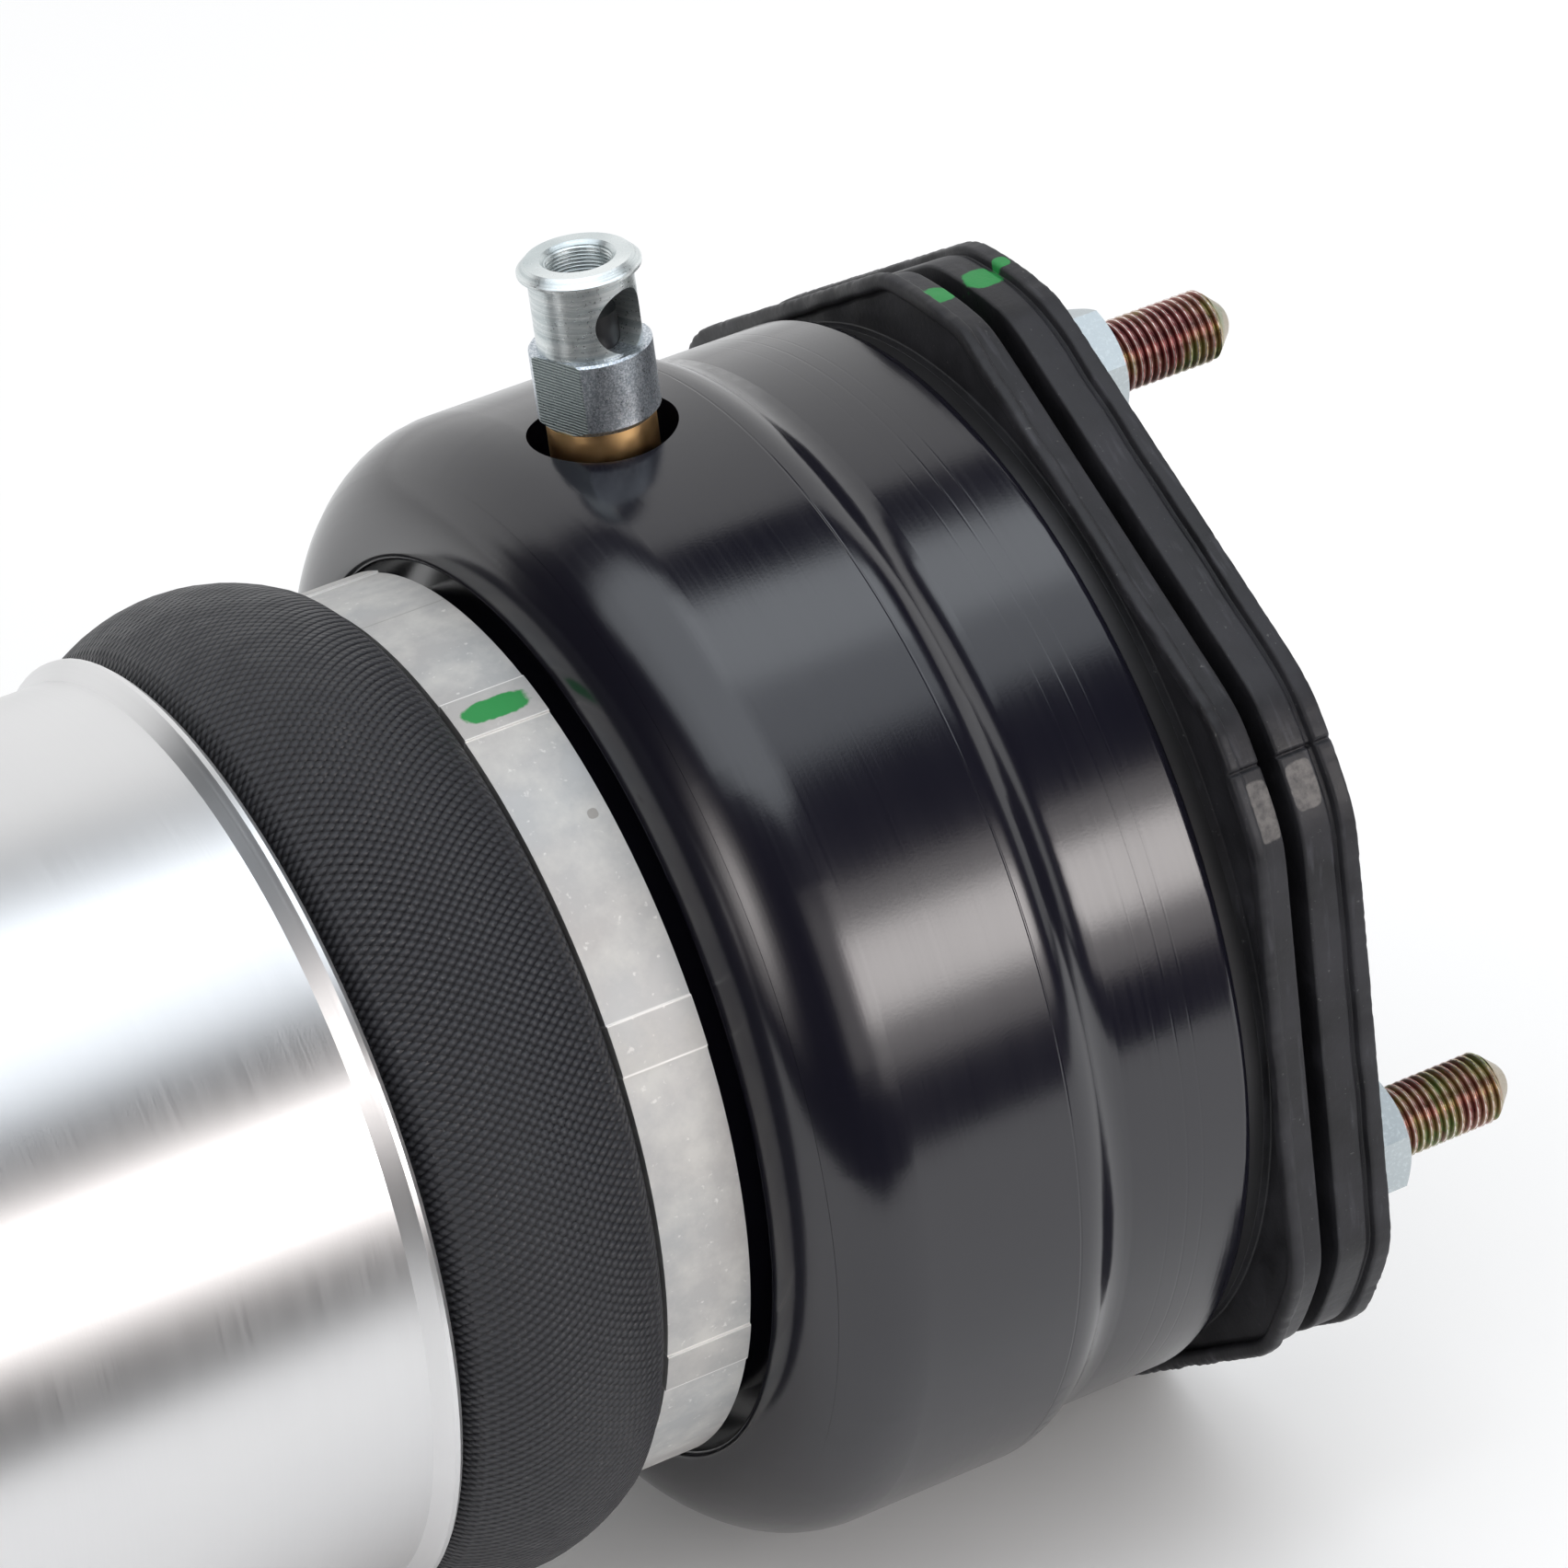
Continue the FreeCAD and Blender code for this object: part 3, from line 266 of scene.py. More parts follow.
def dull_aluminium():
    """Crimp ring: stained, speckled and scratched, with darker marks on the gaps between its lands, painted
    highlights along their edges, and a dab of paint.
    """
    mat = shader("dull_aluminium", (0.6, 0.6, 0.59), 0.55, 0.6)
    stain = noise(mat, place(mat), 160.0, 6.0, 0.62)
    tint = noise(mat, place(mat), 48.0, 2.0)
    speck = noise(mat, place(mat), 900.0, 3.0)
    scratch = noise(mat, place(mat, (260.0, 2600.0, 2600.0)), 1.0, 3.0)
    warm = mix(mat, tint, (0.53, 0.49, 0.465), (0.44, 0.475, 0.495))
    color = mix(mat, ramp(mat, stain, (0.42, 0.0), (0.68, 0.6)), warm, (0.72, 0.71, 0.68))
    color = mix(mat, ramp(mat, speck, (0.66, 0.0), (0.74, 0.5)), color, (0.9, 0.89, 0.86))
    x, radius, angle = polar(mat)
    line = math_of(mat, "ABSOLUTE", math_of(mat, "SUBTRACT", angle, RING_SEAM))
    fine = ramp(mat, math_of(mat, "MULTIPLY", line, 100.0), (0.1, 0.45), (0.35, 0.0))
    color = mix(mat, fine, color, (0.28, 0.28, 0.27))
    # Painted highlights: bright lines along both edges of each gap between lands. The middle of each gap gets a
    # darker mark.
    turn = math_of(mat, "PINGPONG", math_of(mat, "SUBTRACT", angle, RING_GAP), RING_SPACING / 2)
    off = math_of(mat, "ABSOLUTE", math_of(mat, "SUBTRACT", turn, RING_GAP_HALF))
    edge = ramp(mat, math_of(mat, "MULTIPLY", off, 100.0), (0.12, 0.85), (0.38, 0.0))
    color = mix(mat, edge, color, (0.93, 0.92, 0.90))
    inside = ramp(mat, math_of(mat, "MULTIPLY", turn, 10.0), (0.50, 0.22), (0.56, 0.0))
    color = mix(mat, inside, color, (0.42, 0.40, 0.38))
    pit = dab(mat, x, angle, RING_PIT)
    color = mix(mat, math_of(mat, "MULTIPLY", pit, 0.55), color, (0.22, 0.20, 0.18))
    paint = dab(mat, x, angle, RING_PAINT)
    color = mix(mat, paint, color, PAINT_GREEN)
    wire(mat, "Base Color", color)
    wire(mat, "Metallic", ramp(mat, paint, (0.0, 0.6), (1.0, 0.0)))
    wire(mat, "Roughness", ramp(mat, stain, (0.3, 0.56), (0.7, 0.72)))
    bumps(mat, (stain, 0.12, 0.0003), (scratch, 0.07, 0.00008), (paint, 0.25, 0.00008))
    return mat


def rubber(name, color, rough, patches=False):
    """Moulded rubber: mottled, scuffed and dusty, with the marks of the mount where it has them."""
    mat = shader(name, color, rough, Specular_IOR_Level=0.3)
    skin = noise(mat, place(mat), 900.0, 4.0, 0.6)
    cloud = noise(mat, place(mat), 110.0, 5.0, 0.6)
    flow = noise(mat, place(mat, (420.0, 60.0, 60.0)), 1.0, 3.0)
    scuff = noise(mat, place(mat, (900.0, 130.0, 130.0)), 1.0, 3.0)
    dust = noise(mat, place(mat), 1700.0, 2.0)
    dark = tuple(c * 0.6 for c in color)
    pale = tuple(c * 1.7 for c in color)
    tone = mix(mat, ramp(mat, cloud, (0.3, 0.0), (0.7, 1.0)), dark, pale)
    tone = mix(mat, ramp(mat, scuff, (0.6, 0.0), (0.72, 0.35)), tone, tuple(c * 4 for c in color))
    tone = mix(mat, ramp(mat, dust, (0.70, 0.0), (0.78, 0.5)), tone, (0.13, 0.13, 0.13))
    if patches:
        x, radius, angle = polar(mat)
        outer = math_of(mat, "GREATER_THAN", radius, MOUNT_BAND_R)
        for mark in WORN:
            worn = dab(mat, x, angle, mark, 0.3, 5.0)
            rubbed = math_of(mat, "MULTIPLY", worn, ramp(mat, skin, (0.3, 0.3), (0.62, 1.0)))
            tone = mix(mat, math_of(mat, "MULTIPLY", rubbed, outer), tone, (0.115, 0.108, 0.105))
        for mark in PAINTED:
            paint = dab(mat, x, angle, mark)
            tone = mix(mat, math_of(mat, "MULTIPLY", paint, outer), tone, PAINT_GREEN)
    wire(mat, "Base Color", tone)
    wire(mat, "Roughness", ramp(mat, cloud, (0.3, rough - 0.1), (0.7, rough + 0.1)))
    bumps(mat, (flow, 0.25, 0.0003), (skin, 0.3, 0.0002))
    return mat


def knurled_rubber():
    """Black rubber whose skin has raised diamonds that follow the fold, with painted shade in the grooves between
    them.
    """
    mat = shader("bellows_rubber", (0.018, 0.018, 0.021), 0.5, Specular_IOR_Level=0.4)
    x, radius, angle = polar(mat)
    leg = math_of(mat, "ARCTAN2", math_of(mat, "SUBTRACT", radius, FOLD_R),
                  math_of(mat, "SUBTRACT", x, FOLD_X))
    round_cells = math_of(mat, "MULTIPLY", angle, 160.0)
    leg_cells = math_of(mat, "MULTIPLY", leg, 19.0)
    one = math_of(mat, "ABSOLUTE", math_of(mat, "SINE", math_of(mat, "SUBTRACT", round_cells, leg_cells)))
    two = math_of(mat, "ABSOLUTE", math_of(mat, "SINE", math_of(mat, "ADD", round_cells, leg_cells)))
    cells = math_of(mat, "ADD", math_of(mat, "MULTIPLY", one, 0.6), math_of(mat, "MULTIPLY", two, 0.4))
    worn = noise(mat, place(mat), 240.0, 4.0)
    dust = noise(mat, place(mat), 1500.0, 2.0)
    # Painted shade: the grooves between the diamonds are darker, and the raised diamonds take the lighter tone.
    tone = mix(mat, ramp(mat, cells, (0.25, 0.0), (0.9, 1.0)), (0.005, 0.005, 0.007), (0.027, 0.028, 0.033))
    tone = mix(mat, ramp(mat, dust, (0.70, 0.0), (0.8, 0.6)), tone, (0.12, 0.12, 0.125))
    wire(mat, "Base Color", tone)
    wire(mat, "Roughness", ramp(mat, worn, (0.3, 0.40), (0.7, 0.55)))
    bumps(mat, (cells, 1.0, 0.0005), (worn, 0.15, 0.0003))
    return mat


def white_zinc():
    """Plating over the nuts, speckled and slightly frosted."""
    tint, blotch = (0.41, 0.46, 0.49), (0.55, 0.60, 0.61)
    mat = shader("white_zinc", tint, 0.36, 0.92)
    speck = noise(mat, place(mat), 1700.0, 4.0, 0.65)
    cloud = noise(mat, place(mat), 130.0, 3.0)
    base = mix(mat, cloud, tint, blotch)
    frosted = ramp(mat, speck, (0.5, 0.0), (0.75, 0.6))
    wire(mat, "Base Color", mix(mat, frosted, base, (0.74, 0.80, 0.82)))
    wire(mat, "Roughness", ramp(mat, speck, (0.3, 0.28), (0.7, 0.48)))
    bumps(mat, (speck, 0.22, 0.00008))
    return mat


def turned_zinc():
    """Plating over the air fitting: a turned neck, a speckled barrel and milled flats."""
    mat = shader("fitting_zinc", (0.66, 0.71, 0.72), 0.34, 0.92)
    x, y, z = add(mat, "SeparateXYZ", [(0, port_frame(mat))]).outputs
    x = math_of(mat, "SUBTRACT", x, PORT_X)
    out = math_of(mat, "ABSOLUTE", math_of(mat, "ADD", math_of(mat, "MULTIPLY", x, math.cos(FLAT_TURN)),
                                           math_of(mat, "MULTIPLY", y, math.sin(FLAT_TURN))))
    side = math_of(mat, "SUBTRACT", math_of(mat, "MULTIPLY", y, math.cos(FLAT_TURN)),
                   math_of(mat, "MULTIPLY", x, math.sin(FLAT_TURN)))
    barrel = math_of(mat, "LESS_THAN", z, PORT_STEP + 0.05 * MM)
    flat = math_of(mat, "MULTIPLY", barrel, math_of(mat, "GREATER_THAN", out, FLAT_OUT - 0.08 * MM))
    coarse = noise(mat, port_lines(mat, 1500.0), 1.0, 3.0, 0.7)
    fine = noise(mat, port_lines(mat, 5200.0), 1.0, 1.0)
    speck = noise(mat, place(mat), 2300.0, 3.0, 0.6)
    frost = noise(mat, place(mat), 3600.0, 2.0, 0.6)
    slant = math_of(mat, "MULTIPLY", side, 900.0)
    ripple = math_of(mat, "MULTIPLY_ADD", noise(mat, place(mat), 500.0), 1.6, slant)
    cuts = math_of(mat, "SINE", math_of(mat, "MULTIPLY_ADD", z, 2 * math.pi / MILLED_PITCH, ripple))
    cuts = math_of(mat, "MULTIPLY_ADD", cuts, 0.5, 0.5)
    tone = mix(mat, ramp(mat, coarse, (0.35, 0.0), (0.65, 1.0)), (0.50, 0.56, 0.57), (0.82, 0.86, 0.86))
    grainy = mix(mat, ramp(mat, frost, (0.42, 0.0), (0.62, 1.0)), (0.38, 0.43, 0.48), (0.74, 0.78, 0.83))
    milled = mix(mat, cuts, (0.20, 0.25, 0.26), (0.62, 0.69, 0.68))
    tone = mix(mat, barrel, tone, grainy)
    tone = mix(mat, flat, tone, milled)
    tone = mix(mat, ramp(mat, speck, (0.62, 0.0), (0.78, 0.5)), tone, (0.92, 0.95, 0.95))
    wire(mat, "Base Color", tone)
    wire(mat, "Roughness", ramp(mat, speck, (0.3, 0.25), (0.7, 0.38)))
    neck = math_of(mat, "SUBTRACT", 1.0, barrel)
    turned = math_of(mat, "MULTIPLY", coarse, neck)
    round_lines = math_of(mat, "MULTIPLY", fine, neck)
    milled_lines = math_of(mat, "MULTIPLY", cuts, flat)
    grains = math_of(mat, "MULTIPLY", frost, barrel)
    bumps(mat, (turned, 0.38, 0.0001), (round_lines, 0.4, 0.00006),
          (milled_lines, 0.6, 0.00006), (grains, 0.16, 0.0001))
    return mat


def yellow_zinc():
    """Iridescent passivated zinc: red-brown and olive flanks, painted shade in the thread roots, and pale crests of
    worn plating brightened as a painted highlight.
    """
    mat = shader("yellow_zinc", (0.3, 0.2, 0.14), 0.3, 0.95)
    film = noise(mat, place(mat, (150.0, 110.0, 110.0)), 1.0, 2.0)
    ragged = math_of(mat, "MULTIPLY_ADD", noise(mat, place(mat), 900.0, 2.0), 0.25, -0.125)
    film = math_of(mat, "ADD", film, ragged)
    # Painted shade: the thread roots take darker copies of the flank colours.
    root_shade = ramp(mat, film, (0.34, (0.10, 0.03, 0.03)), (0.46, (0.15, 0.065, 0.045)),
                (0.56, (0.15, 0.12, 0.045)), (0.66, (0.085, 0.12, 0.04)), (0.76, (0.15, 0.08, 0.055)))
    flank = ramp(mat, film, (0.34, (0.30, 0.09, 0.09)), (0.46, (0.36, 0.18, 0.15)),
                 (0.56, (0.36, 0.28, 0.14)), (0.66, (0.20, 0.26, 0.10)), (0.76, (0.36, 0.22, 0.18)))
    cut = add(mat, "Attribute", attribute_name="cut").outputs["Fac"]
    color = mix(mat, ramp(mat, cut, (0.3, 0.0), (0.6, 1.0)), flank, root_shade)
    # Pale crests: worn plating, lightened further as a painted highlight.
    color = mix(mat, ramp(mat, cut, (0.10, 1.0), (0.27, 0.0)), color, (0.97, 0.90, 0.84))
    x, radius, angle = polar(mat)
    nose = ramp(mat, math_of(mat, "MULTIPLY", x, 10.0), (0.166, 0.0), (0.169, 1.0))
    mottled = mix(mat, noise(mat, place(mat), 320.0, 3.0), (0.30, 0.26, 0.19), (0.48, 0.42, 0.34))
    green = ramp(mat, noise(mat, place(mat), 210.0, 1.0), (0.56, 0.0), (0.64, 0.35))
    mottled = mix(mat, green, mottled, (0.16, 0.30, 0.17))
    wire(mat, "Base Color", mix(mat, nose, color, mottled))
    grit = noise(mat, place(mat), 2600.0, 3.0)
    wire(mat, "Roughness", ramp(mat, grit, (0.3, 0.26), (0.7, 0.44)))
    bumps(mat, (grit, 0.18, 0.00006))
    return mat


def brass():
    """Collar of the air fitting, with fine lines round it."""
    mat = shader("brass", (0.85, 0.55, 0.25), 0.36, 1.0)
    cloud = noise(mat, place(mat), 420.0, 4.0, 0.6)
    lines = noise(mat, port_lines(mat, 2600.0), 1.0, 2.0)
    wire(mat, "Base Color", mix(mat, cloud, (0.76, 0.45, 0.18), (0.94, 0.64, 0.32)))
    wire(mat, "Roughness", ramp(mat, cloud, (0.3, 0.30), (0.7, 0.46)))
    bumps(mat, (lines, 0.15, 0.00005))
    return mat


def coated(name, color, rough, metal=0.0):
    """Plain coating with a slight orange peel and uneven gloss."""
    mat = shader(name, color, rough, metal)
    peel = noise(mat, place(mat), 520.0, 3.0)
    cloud = noise(mat, place(mat), 60.0, 4.0)
    dark, pale = tuple(c * 0.8 for c in color), tuple(min(1.0, c * 1.25) for c in color)
    wire(mat, "Base Color", mix(mat, cloud, dark, pale))
    wire(mat, "Roughness", ramp(mat, cloud, (0.3, max(0.05, rough - 0.06)), (0.7, rough + 0.08)))
    bumps(mat, (peel, 0.08, 0.0002))
    return mat


def foam():
    """Cellular bump stop: closed skin with small pores."""
    mat = shader("stop_foam", (0.72, 0.64, 0.38), 0.75)
    pores = noise(mat, place(mat), 1300.0, 3.0)
    cloud = noise(mat, place(mat), 70.0, 3.0)
    wire(mat, "Base Color", mix(mat, cloud, (0.62, 0.53, 0.28), (0.78, 0.70, 0.44)))
    bumps(mat, (pores, 0.4, 0.0003))
    return mat


finishes = {
    "black_aluminium": black_aluminium(),
    "black_steel": coated("black_steel", (0.02, 0.02, 0.022), 0.42),
    "mount_rubber": rubber("mount_rubber", (0.0145, 0.0145, 0.017), 0.46, patches=True),
    "yellow_zinc": yellow_zinc(),
    "white_zinc": white_zinc(),
    "brass": brass(),
    "dull_aluminium": dull_aluminium(),
    "bellows_rubber": knurled_rubber(),
    "bright_aluminium": bright_aluminium(),
    "hard_chrome": coated("hard_chrome", (0.72, 0.73, 0.75), 0.12, 1.0),
    "stop_foam": foam(),
    "boot_rubber": rubber("boot_rubber", (0.024, 0.024, 0.026), 0.46),
    # Seals: black rubber, darkened to near-black as painted shade for what shows through the air fitting's cross
    # hole.
    "seal_rubber_and_shade": coated("seal_rubber_and_shade", (0.005, 0.005, 0.006), 0.4),
    "band_steel": coated("band_steel", (0.58, 0.59, 0.6), 0.3, 1.0),
    "painted_steel": coated("painted_steel", (0.016, 0.016, 0.018), 0.3),
    "piston_plastic": rubber("piston_plastic", (0.03, 0.03, 0.031), 0.4),
}

slot_of = {part["node"]: part["material_slot"] for part in frame["record"]["subparts"]}
for node, obj in frame["nodes"].items():
    obj.data.materials.clear()
    obj.data.materials.append(finishes[slot_of[node]])
frame["nodes"]["fitting_body"].data.materials[0] = turned_zinc()
# The seals take the near-black rubber, which paints shade into the air fitting's cross hole.
for node in ("fitting_seal", "rod_seal"):
    frame["nodes"][node].data.materials[0] = finishes["seal_rubber_and_shade"]


# Small real edges where the solids have sharp ones
def soften(node, width):
    """Bevels the node's sharp edges, by a width in mm."""
    edge = frame["nodes"][node].modifiers.new("edge", "BEVEL")
    edge.width = width * MM
    edge.segments = 2
    edge.limit_method = "ANGLE"
    edge.angle_limit = math.radians(30.0)
    edge.harden_normals = True
    edge.use_clamp_overlap = True


for node, width in (("nut_1", 0.25), ("nut_2", 0.25), ("nut_3", 0.25), ("rod_nut", 0.3),
                    ("stud_plate", 0.3), ("crimp_ring", 0.12), ("fitting_body", 0.12), ("fitting_collar", 0.15),
                    ("lower_eye", 0.5)):
    soften(node, width)


# Pieces made of rows of points round the strut or round their own axis
def grid_mesh(name, rows, finish, body, smooth_angle=None, closed=False):
    """Surface through rows of points, each row a closed ring. Closed joins the last row to the first."""
    rows = np.asarray(rows, float)
    count, sides = rows.shape[:2]
    k = np.arange(sides)
    faces = []
    for i in range(count if closed else count - 1):
        a, b = i * sides + k, i * sides + (k + 1) % sides
        step = (i + 1) % count * sides - i * sides
        faces.append(np.stack([a, b, b + step, a + step], 1))
    mesh = bpy.data.meshes.new(name)
    mesh.from_pydata(rows.reshape(-1, 3).tolist(), [], np.concatenate(faces).tolist())
    mesh.shade_smooth()
    if smooth_angle:
        mesh.set_sharp_from_angle(angle=math.radians(smooth_angle))
    obj = bpy.data.objects.new(name, mesh)
    scene.collection.objects.link(obj)
    mesh.materials.append(finish)
    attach(obj, body)
    return obj


def thread_depth(turns):
    """Depth under the crest, 0 to 1, for a place in turns along a 60 degree thread."""
    place_in = np.abs(np.mod(turns, 1.0) - 0.5) * 2
    return np.clip((place_in - 0.16) / 0.68, 0.0, 1.0)


# Cone and domed tip of a stud, in mm: distance back from the end, and radius
STUD_NOSE = ((3.0, 4.45), (2.85, 4.3), (0.95, 2.5), (0.75, 2.25), (0.5, 1.9), (0.3, 1.5), (0.13, 1.0),
             (0.03, 0.5), (0.0, 0.0))


def stud(number):
    """Headed stud with a rolled thread, a coned lead end and a domed tip."""
    angle = math.radians(90 + 120 * (number - 1))
    centre = Vector((0, math.cos(angle), math.sin(angle))) * STUD_CIRCLE
    around = np.linspace(0, 2 * math.pi, 80, endpoint=False)
    low, high, edge = *STUD_HEAD, 0.3 * MM
    outline = [(low, 0.0), (low, STUD_HEAD_R - edge), (low + edge, STUD_HEAD_R),
               (high - edge, STUD_HEAD_R), (high, STUD_HEAD_R - edge), (high, STUD_R)]
    rows = [(x, np.full_like(around, r), np.zeros_like(around)) for x, r in outline]
    for x in np.arange(THREAD_START, STUD_LEAD, STUD_PITCH / 20):
        full = min(1.0, (x - THREAD_START) / THREAD_RUN_OUT)
        cut = full * thread_depth(x / STUD_PITCH - around / (2 * math.pi))
        lead = STUD_R - max(0.0, x - (STUD_LEAD - 0.5 * MM))
        r = np.minimum(STUD_R - THREAD_DEPTH * cut, lead)
        rows.append((x, r, np.where(r < lead, cut, 0.3)))
    for back, r in STUD_NOSE:
        rows.append((STUD_TOP - back * MM, np.full_like(around, r * MM), np.full_like(around, 0.3)))
    points = [np.stack([np.full_like(around, x), centre.y + r * np.cos(around), centre.z + r * np.sin(around)],
                       1) for x, r, cut in rows]
    obj = grid_mesh(f"threaded_stud_{number}", points, finishes["yellow_zinc"], "upper_mount", 50)
    depth = obj.data.attributes.new("cut", "FLOAT", "POINT")
    depth.data.foreach_set("value", np.concatenate([cut for x, r, cut in rows]).astype(np.float32))
    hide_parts(f"stud_{number}")


def port_thread():
    """Fine thread inside the air fitting's mouth, open at the cross hole."""
    around = np.linspace(0, 2 * math.pi, 96, endpoint=False)
    rows = []
    for h in np.arange(*PORT_THREAD, PORT_PITCH / 10):
        ridge = 1.0 - thread_depth(h / PORT_PITCH - around / (2 * math.pi))
        r = PORT_BORE - 0.02 * MM - 0.24 * MM * ridge
        rows.append(np.stack([r * np.cos(around), r * np.sin(around), np.full_like(around, h)], 1))
    rows = np.array(rows)
    for end in (0, -1):
        rows[end, :, :2] *= (PORT_BORE + 0.05 * MM) / np.linalg.norm(rows[end, :, :2], axis=1)[:, None]
    obj = grid_mesh("port_thread", rows, frame["nodes"]["fitting_body"].data.materials[0], "upper_mount")
    out = np.array([math.cos(CROSS_HOLE_TURN), math.sin(CROSS_HOLE_TURN), 0.0])
    side = np.array([-out[1], out[0], 0.0])
    mesh = obj.data
    middles = np.array([f.center for f in mesh.polygons])
    off = np.hypot(middles @ side, middles[:, 2] - CROSS_HOLE_UP)
    gone = set(np.nonzero((off < CROSS_HOLE_R) & (middles @ out > 0))[0].tolist())
    kept = [tuple(f.vertices) for i, f in enumerate(mesh.polygons) if i not in gone]
    points = [v.co.copy() for v in mesh.vertices]
    mesh.clear_geometry()
    turn = Matrix.Rotation(PORT_ANGLE - math.pi / 2, 4, "X")
    shift = Matrix.Translation((PORT_X, 0, 0))
    mesh.from_pydata([tuple(shift @ turn @ p) for p in points], [], kept)
    mesh.shade_smooth()


# Rubber moulding of the mount, in mm: angles of its sides, apothem and corner radius, and its butt joint
MOUNT_SIDES = np.radians((63.0, 122.5, 180.5, 239.0, 300.0, 360.0))
MOUNT_OUT = (77.2, 83.6)
PAD_OUT = (63.2, 72.5)
CORNER_POWER = 150.0
SEAM = math.radians(150.6)
SEAM_COLUMNS = np.radians((-0.5, -0.32, -0.22, -0.08, 0.08, 0.22, 0.32, 0.5))
TORN_ANGLE = 232


def waves(around, seed, low, high):
    """Even random ripple round the mount, about 1 at its peaks."""
    rng = np.random.RandomState(seed)
    orders = np.arange(low, high, max(1, (high - low) // 24))
    total = sum(rng.normal() * np.cos(k * around + rng.uniform(0, 2 * math.pi)) for k in orders)
    return total / math.sqrt(len(orders))


def six_sided(around, apothem, corner):
    """Radius of the outline: six flats, with the corners turned off and their edges rounded."""
    total = np.ones_like(around)
    for side in MOUNT_SIDES:
        total = total + np.clip(corner * np.cos(around - side) / apothem, 0, None) ** CORNER_POWER
    return corner * total ** (-1 / CORNER_POWER)


def mount_block():
    """Two lipped layers with a slot between them, closed by a butt joint, over a pad."""
    around = np.linspace(0, 2 * math.pi, 720, endpoint=False)
    around = np.sort(np.concatenate([around, SEAM + SEAM_COLUMNS]))
    apothem, corner = MOUNT_OUT
    flat = waves(around, 3, 4, 60)
    fine = np.abs(waves(around, 7, 60, 340))
    torn = np.exp(-((np.degrees(around) - TORN_ANGLE) / 9) ** 2)
    joint = np.clip(1.4 - np.abs(around - SEAM) / math.radians(0.2), 0, 1)

    def edge(inset, wobble=0.0, flash=0.0, notch=0.0):
        """Outline drawn in by an inset, uneven, with flash, and cut at the butt joint."""
        radius = six_sided(around, apothem - inset, corner - inset)
        return radius - wobble * (1 + flat / 2) - flash * fine * (1 + 2 * torn) - notch * joint

    def circle(radius):
        return np.full_like(around, radius)

    lip_x = 0.10 * waves(around, 11, 6, 50)
    # Station, radius and rounding of each corner of the section
    profile = [
        # inner face and inner lip
        (-28.2, circle(30.0), 0.2), (-28.2, circle(73.2), 0.1), (-27.0, circle(73.3), 0.3),
        (-27.0 + lip_x, edge(2.4, 0.15), 0.5), (-28.2 + lip_x, edge(2.1, 0.15), 0.7),
        (-28.2 + lip_x, edge(0.0, 0.05, 0.16, 0.5), 0.8), (-26.5 + lip_x, edge(0.0, 0.05, 0.10, 0.5), 0.5),
        # inner band, slot and outer band
        (-26.4 + lip_x, edge(0.9, 0.0, 0.03, 0.5), 0.4), (-23.2, edge(1.0, 0.02, 0.02, 0.5), 0.5),
        (-23.3, edge(8.0, 0.1), 1.0), (-20.6, edge(8.0, 0.1), 1.0),
        (-20.65, edge(1.0, 0.02, 0.02, 0.5), 0.5), (-16.2 - lip_x, edge(1.0, 0.0, 0.02, 0.5), 0.35),
        # groove and outer lip
        (-16.1 - lip_x, edge(1.45, 0.0, 0.0, 0.5), 0.2), (-15.4 - lip_x, edge(1.45, 0.0, 0.0, 0.5), 0.2),
        (-15.3 - lip_x, edge(0.1, 0.05, 0.05, 0.5), 0.5), (-13.0, edge(0.0, 0.02, 0.14, 0.4), 0.45),
        # outer face and pad
        (-13.1, edge(0.6, 0.02), 0.4), (-13.05, six_sided(around, *PAD_OUT), 0.6),
        (-11.0, six_sided(around, PAD_OUT[0] - 0.2, PAD_OUT[1] - 0.2), 0.5), (-11.0, circle(30.0), 0.2),
    ]
    corners = [np.stack([np.zeros_like(around) + x, r]) for x, r, _ in profile]
    rows = []
    for i, (_, _, rounding) in enumerate(profile):
        before, here, after = corners[i - 1], corners[i], corners[(i + 1) % len(corners)]
        start, end = (here + (other - here) * np.minimum(
            rounding / np.linalg.norm(other - here, axis=0), 0.45) for other in (before, after))
        for t in (0.0, 0.25, 0.5, 0.75, 1.0):
            x, r = (1 - t) ** 2 * start + 2 * t * (1 - t) * here + t * t * end
            rows.append(np.stack([x, r * np.cos(around), r * np.sin(around)], 1) * MM)
    obj = grid_mesh("mount_block", rows, finishes["mount_rubber"], "upper_mount", closed=True)
    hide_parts("mount_rubber")


# Canister's lip, in mm: centre and radius of the shoulder's arc and of the lip's own arc
SHOULDER_ARC = (-81.7, 64.1, 14.5)
LIP_ARC = (-94.6, 64.0, 1.6)
LIP_END_X = -92.6
SKIN = 0.03


def lip_edge():
    """Fine skin over the canister's rounded lip, where the solid's facets would show."""
    around = np.linspace(0, 2 * math.pi, 720, endpoint=False)
    x0, r0, reach = SHOULDER_ARC[0], SHOULDER_ARC[1], SHOULDER_ARC[2] + SKIN
    turned = np.radians(np.linspace(42, 0, 15))
    outline = [(x0 - reach * math.cos(a), r0 + reach * math.sin(a)) for a in turned]
    x0, r0, reach = LIP_ARC[0], LIP_ARC[1], LIP_ARC[2] + SKIN
    turned = np.radians(np.linspace(6, 90, 14))
    outline += [(x0 - reach * math.cos(a), r0 - reach * math.sin(a)) for a in turned]
    outline.append((LIP_END_X, r0 - reach))
    rows = [np.stack([np.full_like(around, x), r * np.cos(around), r * np.sin(around)], 1) * MM for x, r in outline]
    obj = grid_mesh("lip_edge", rows, finishes["black_aluminium"], "upper_mount")


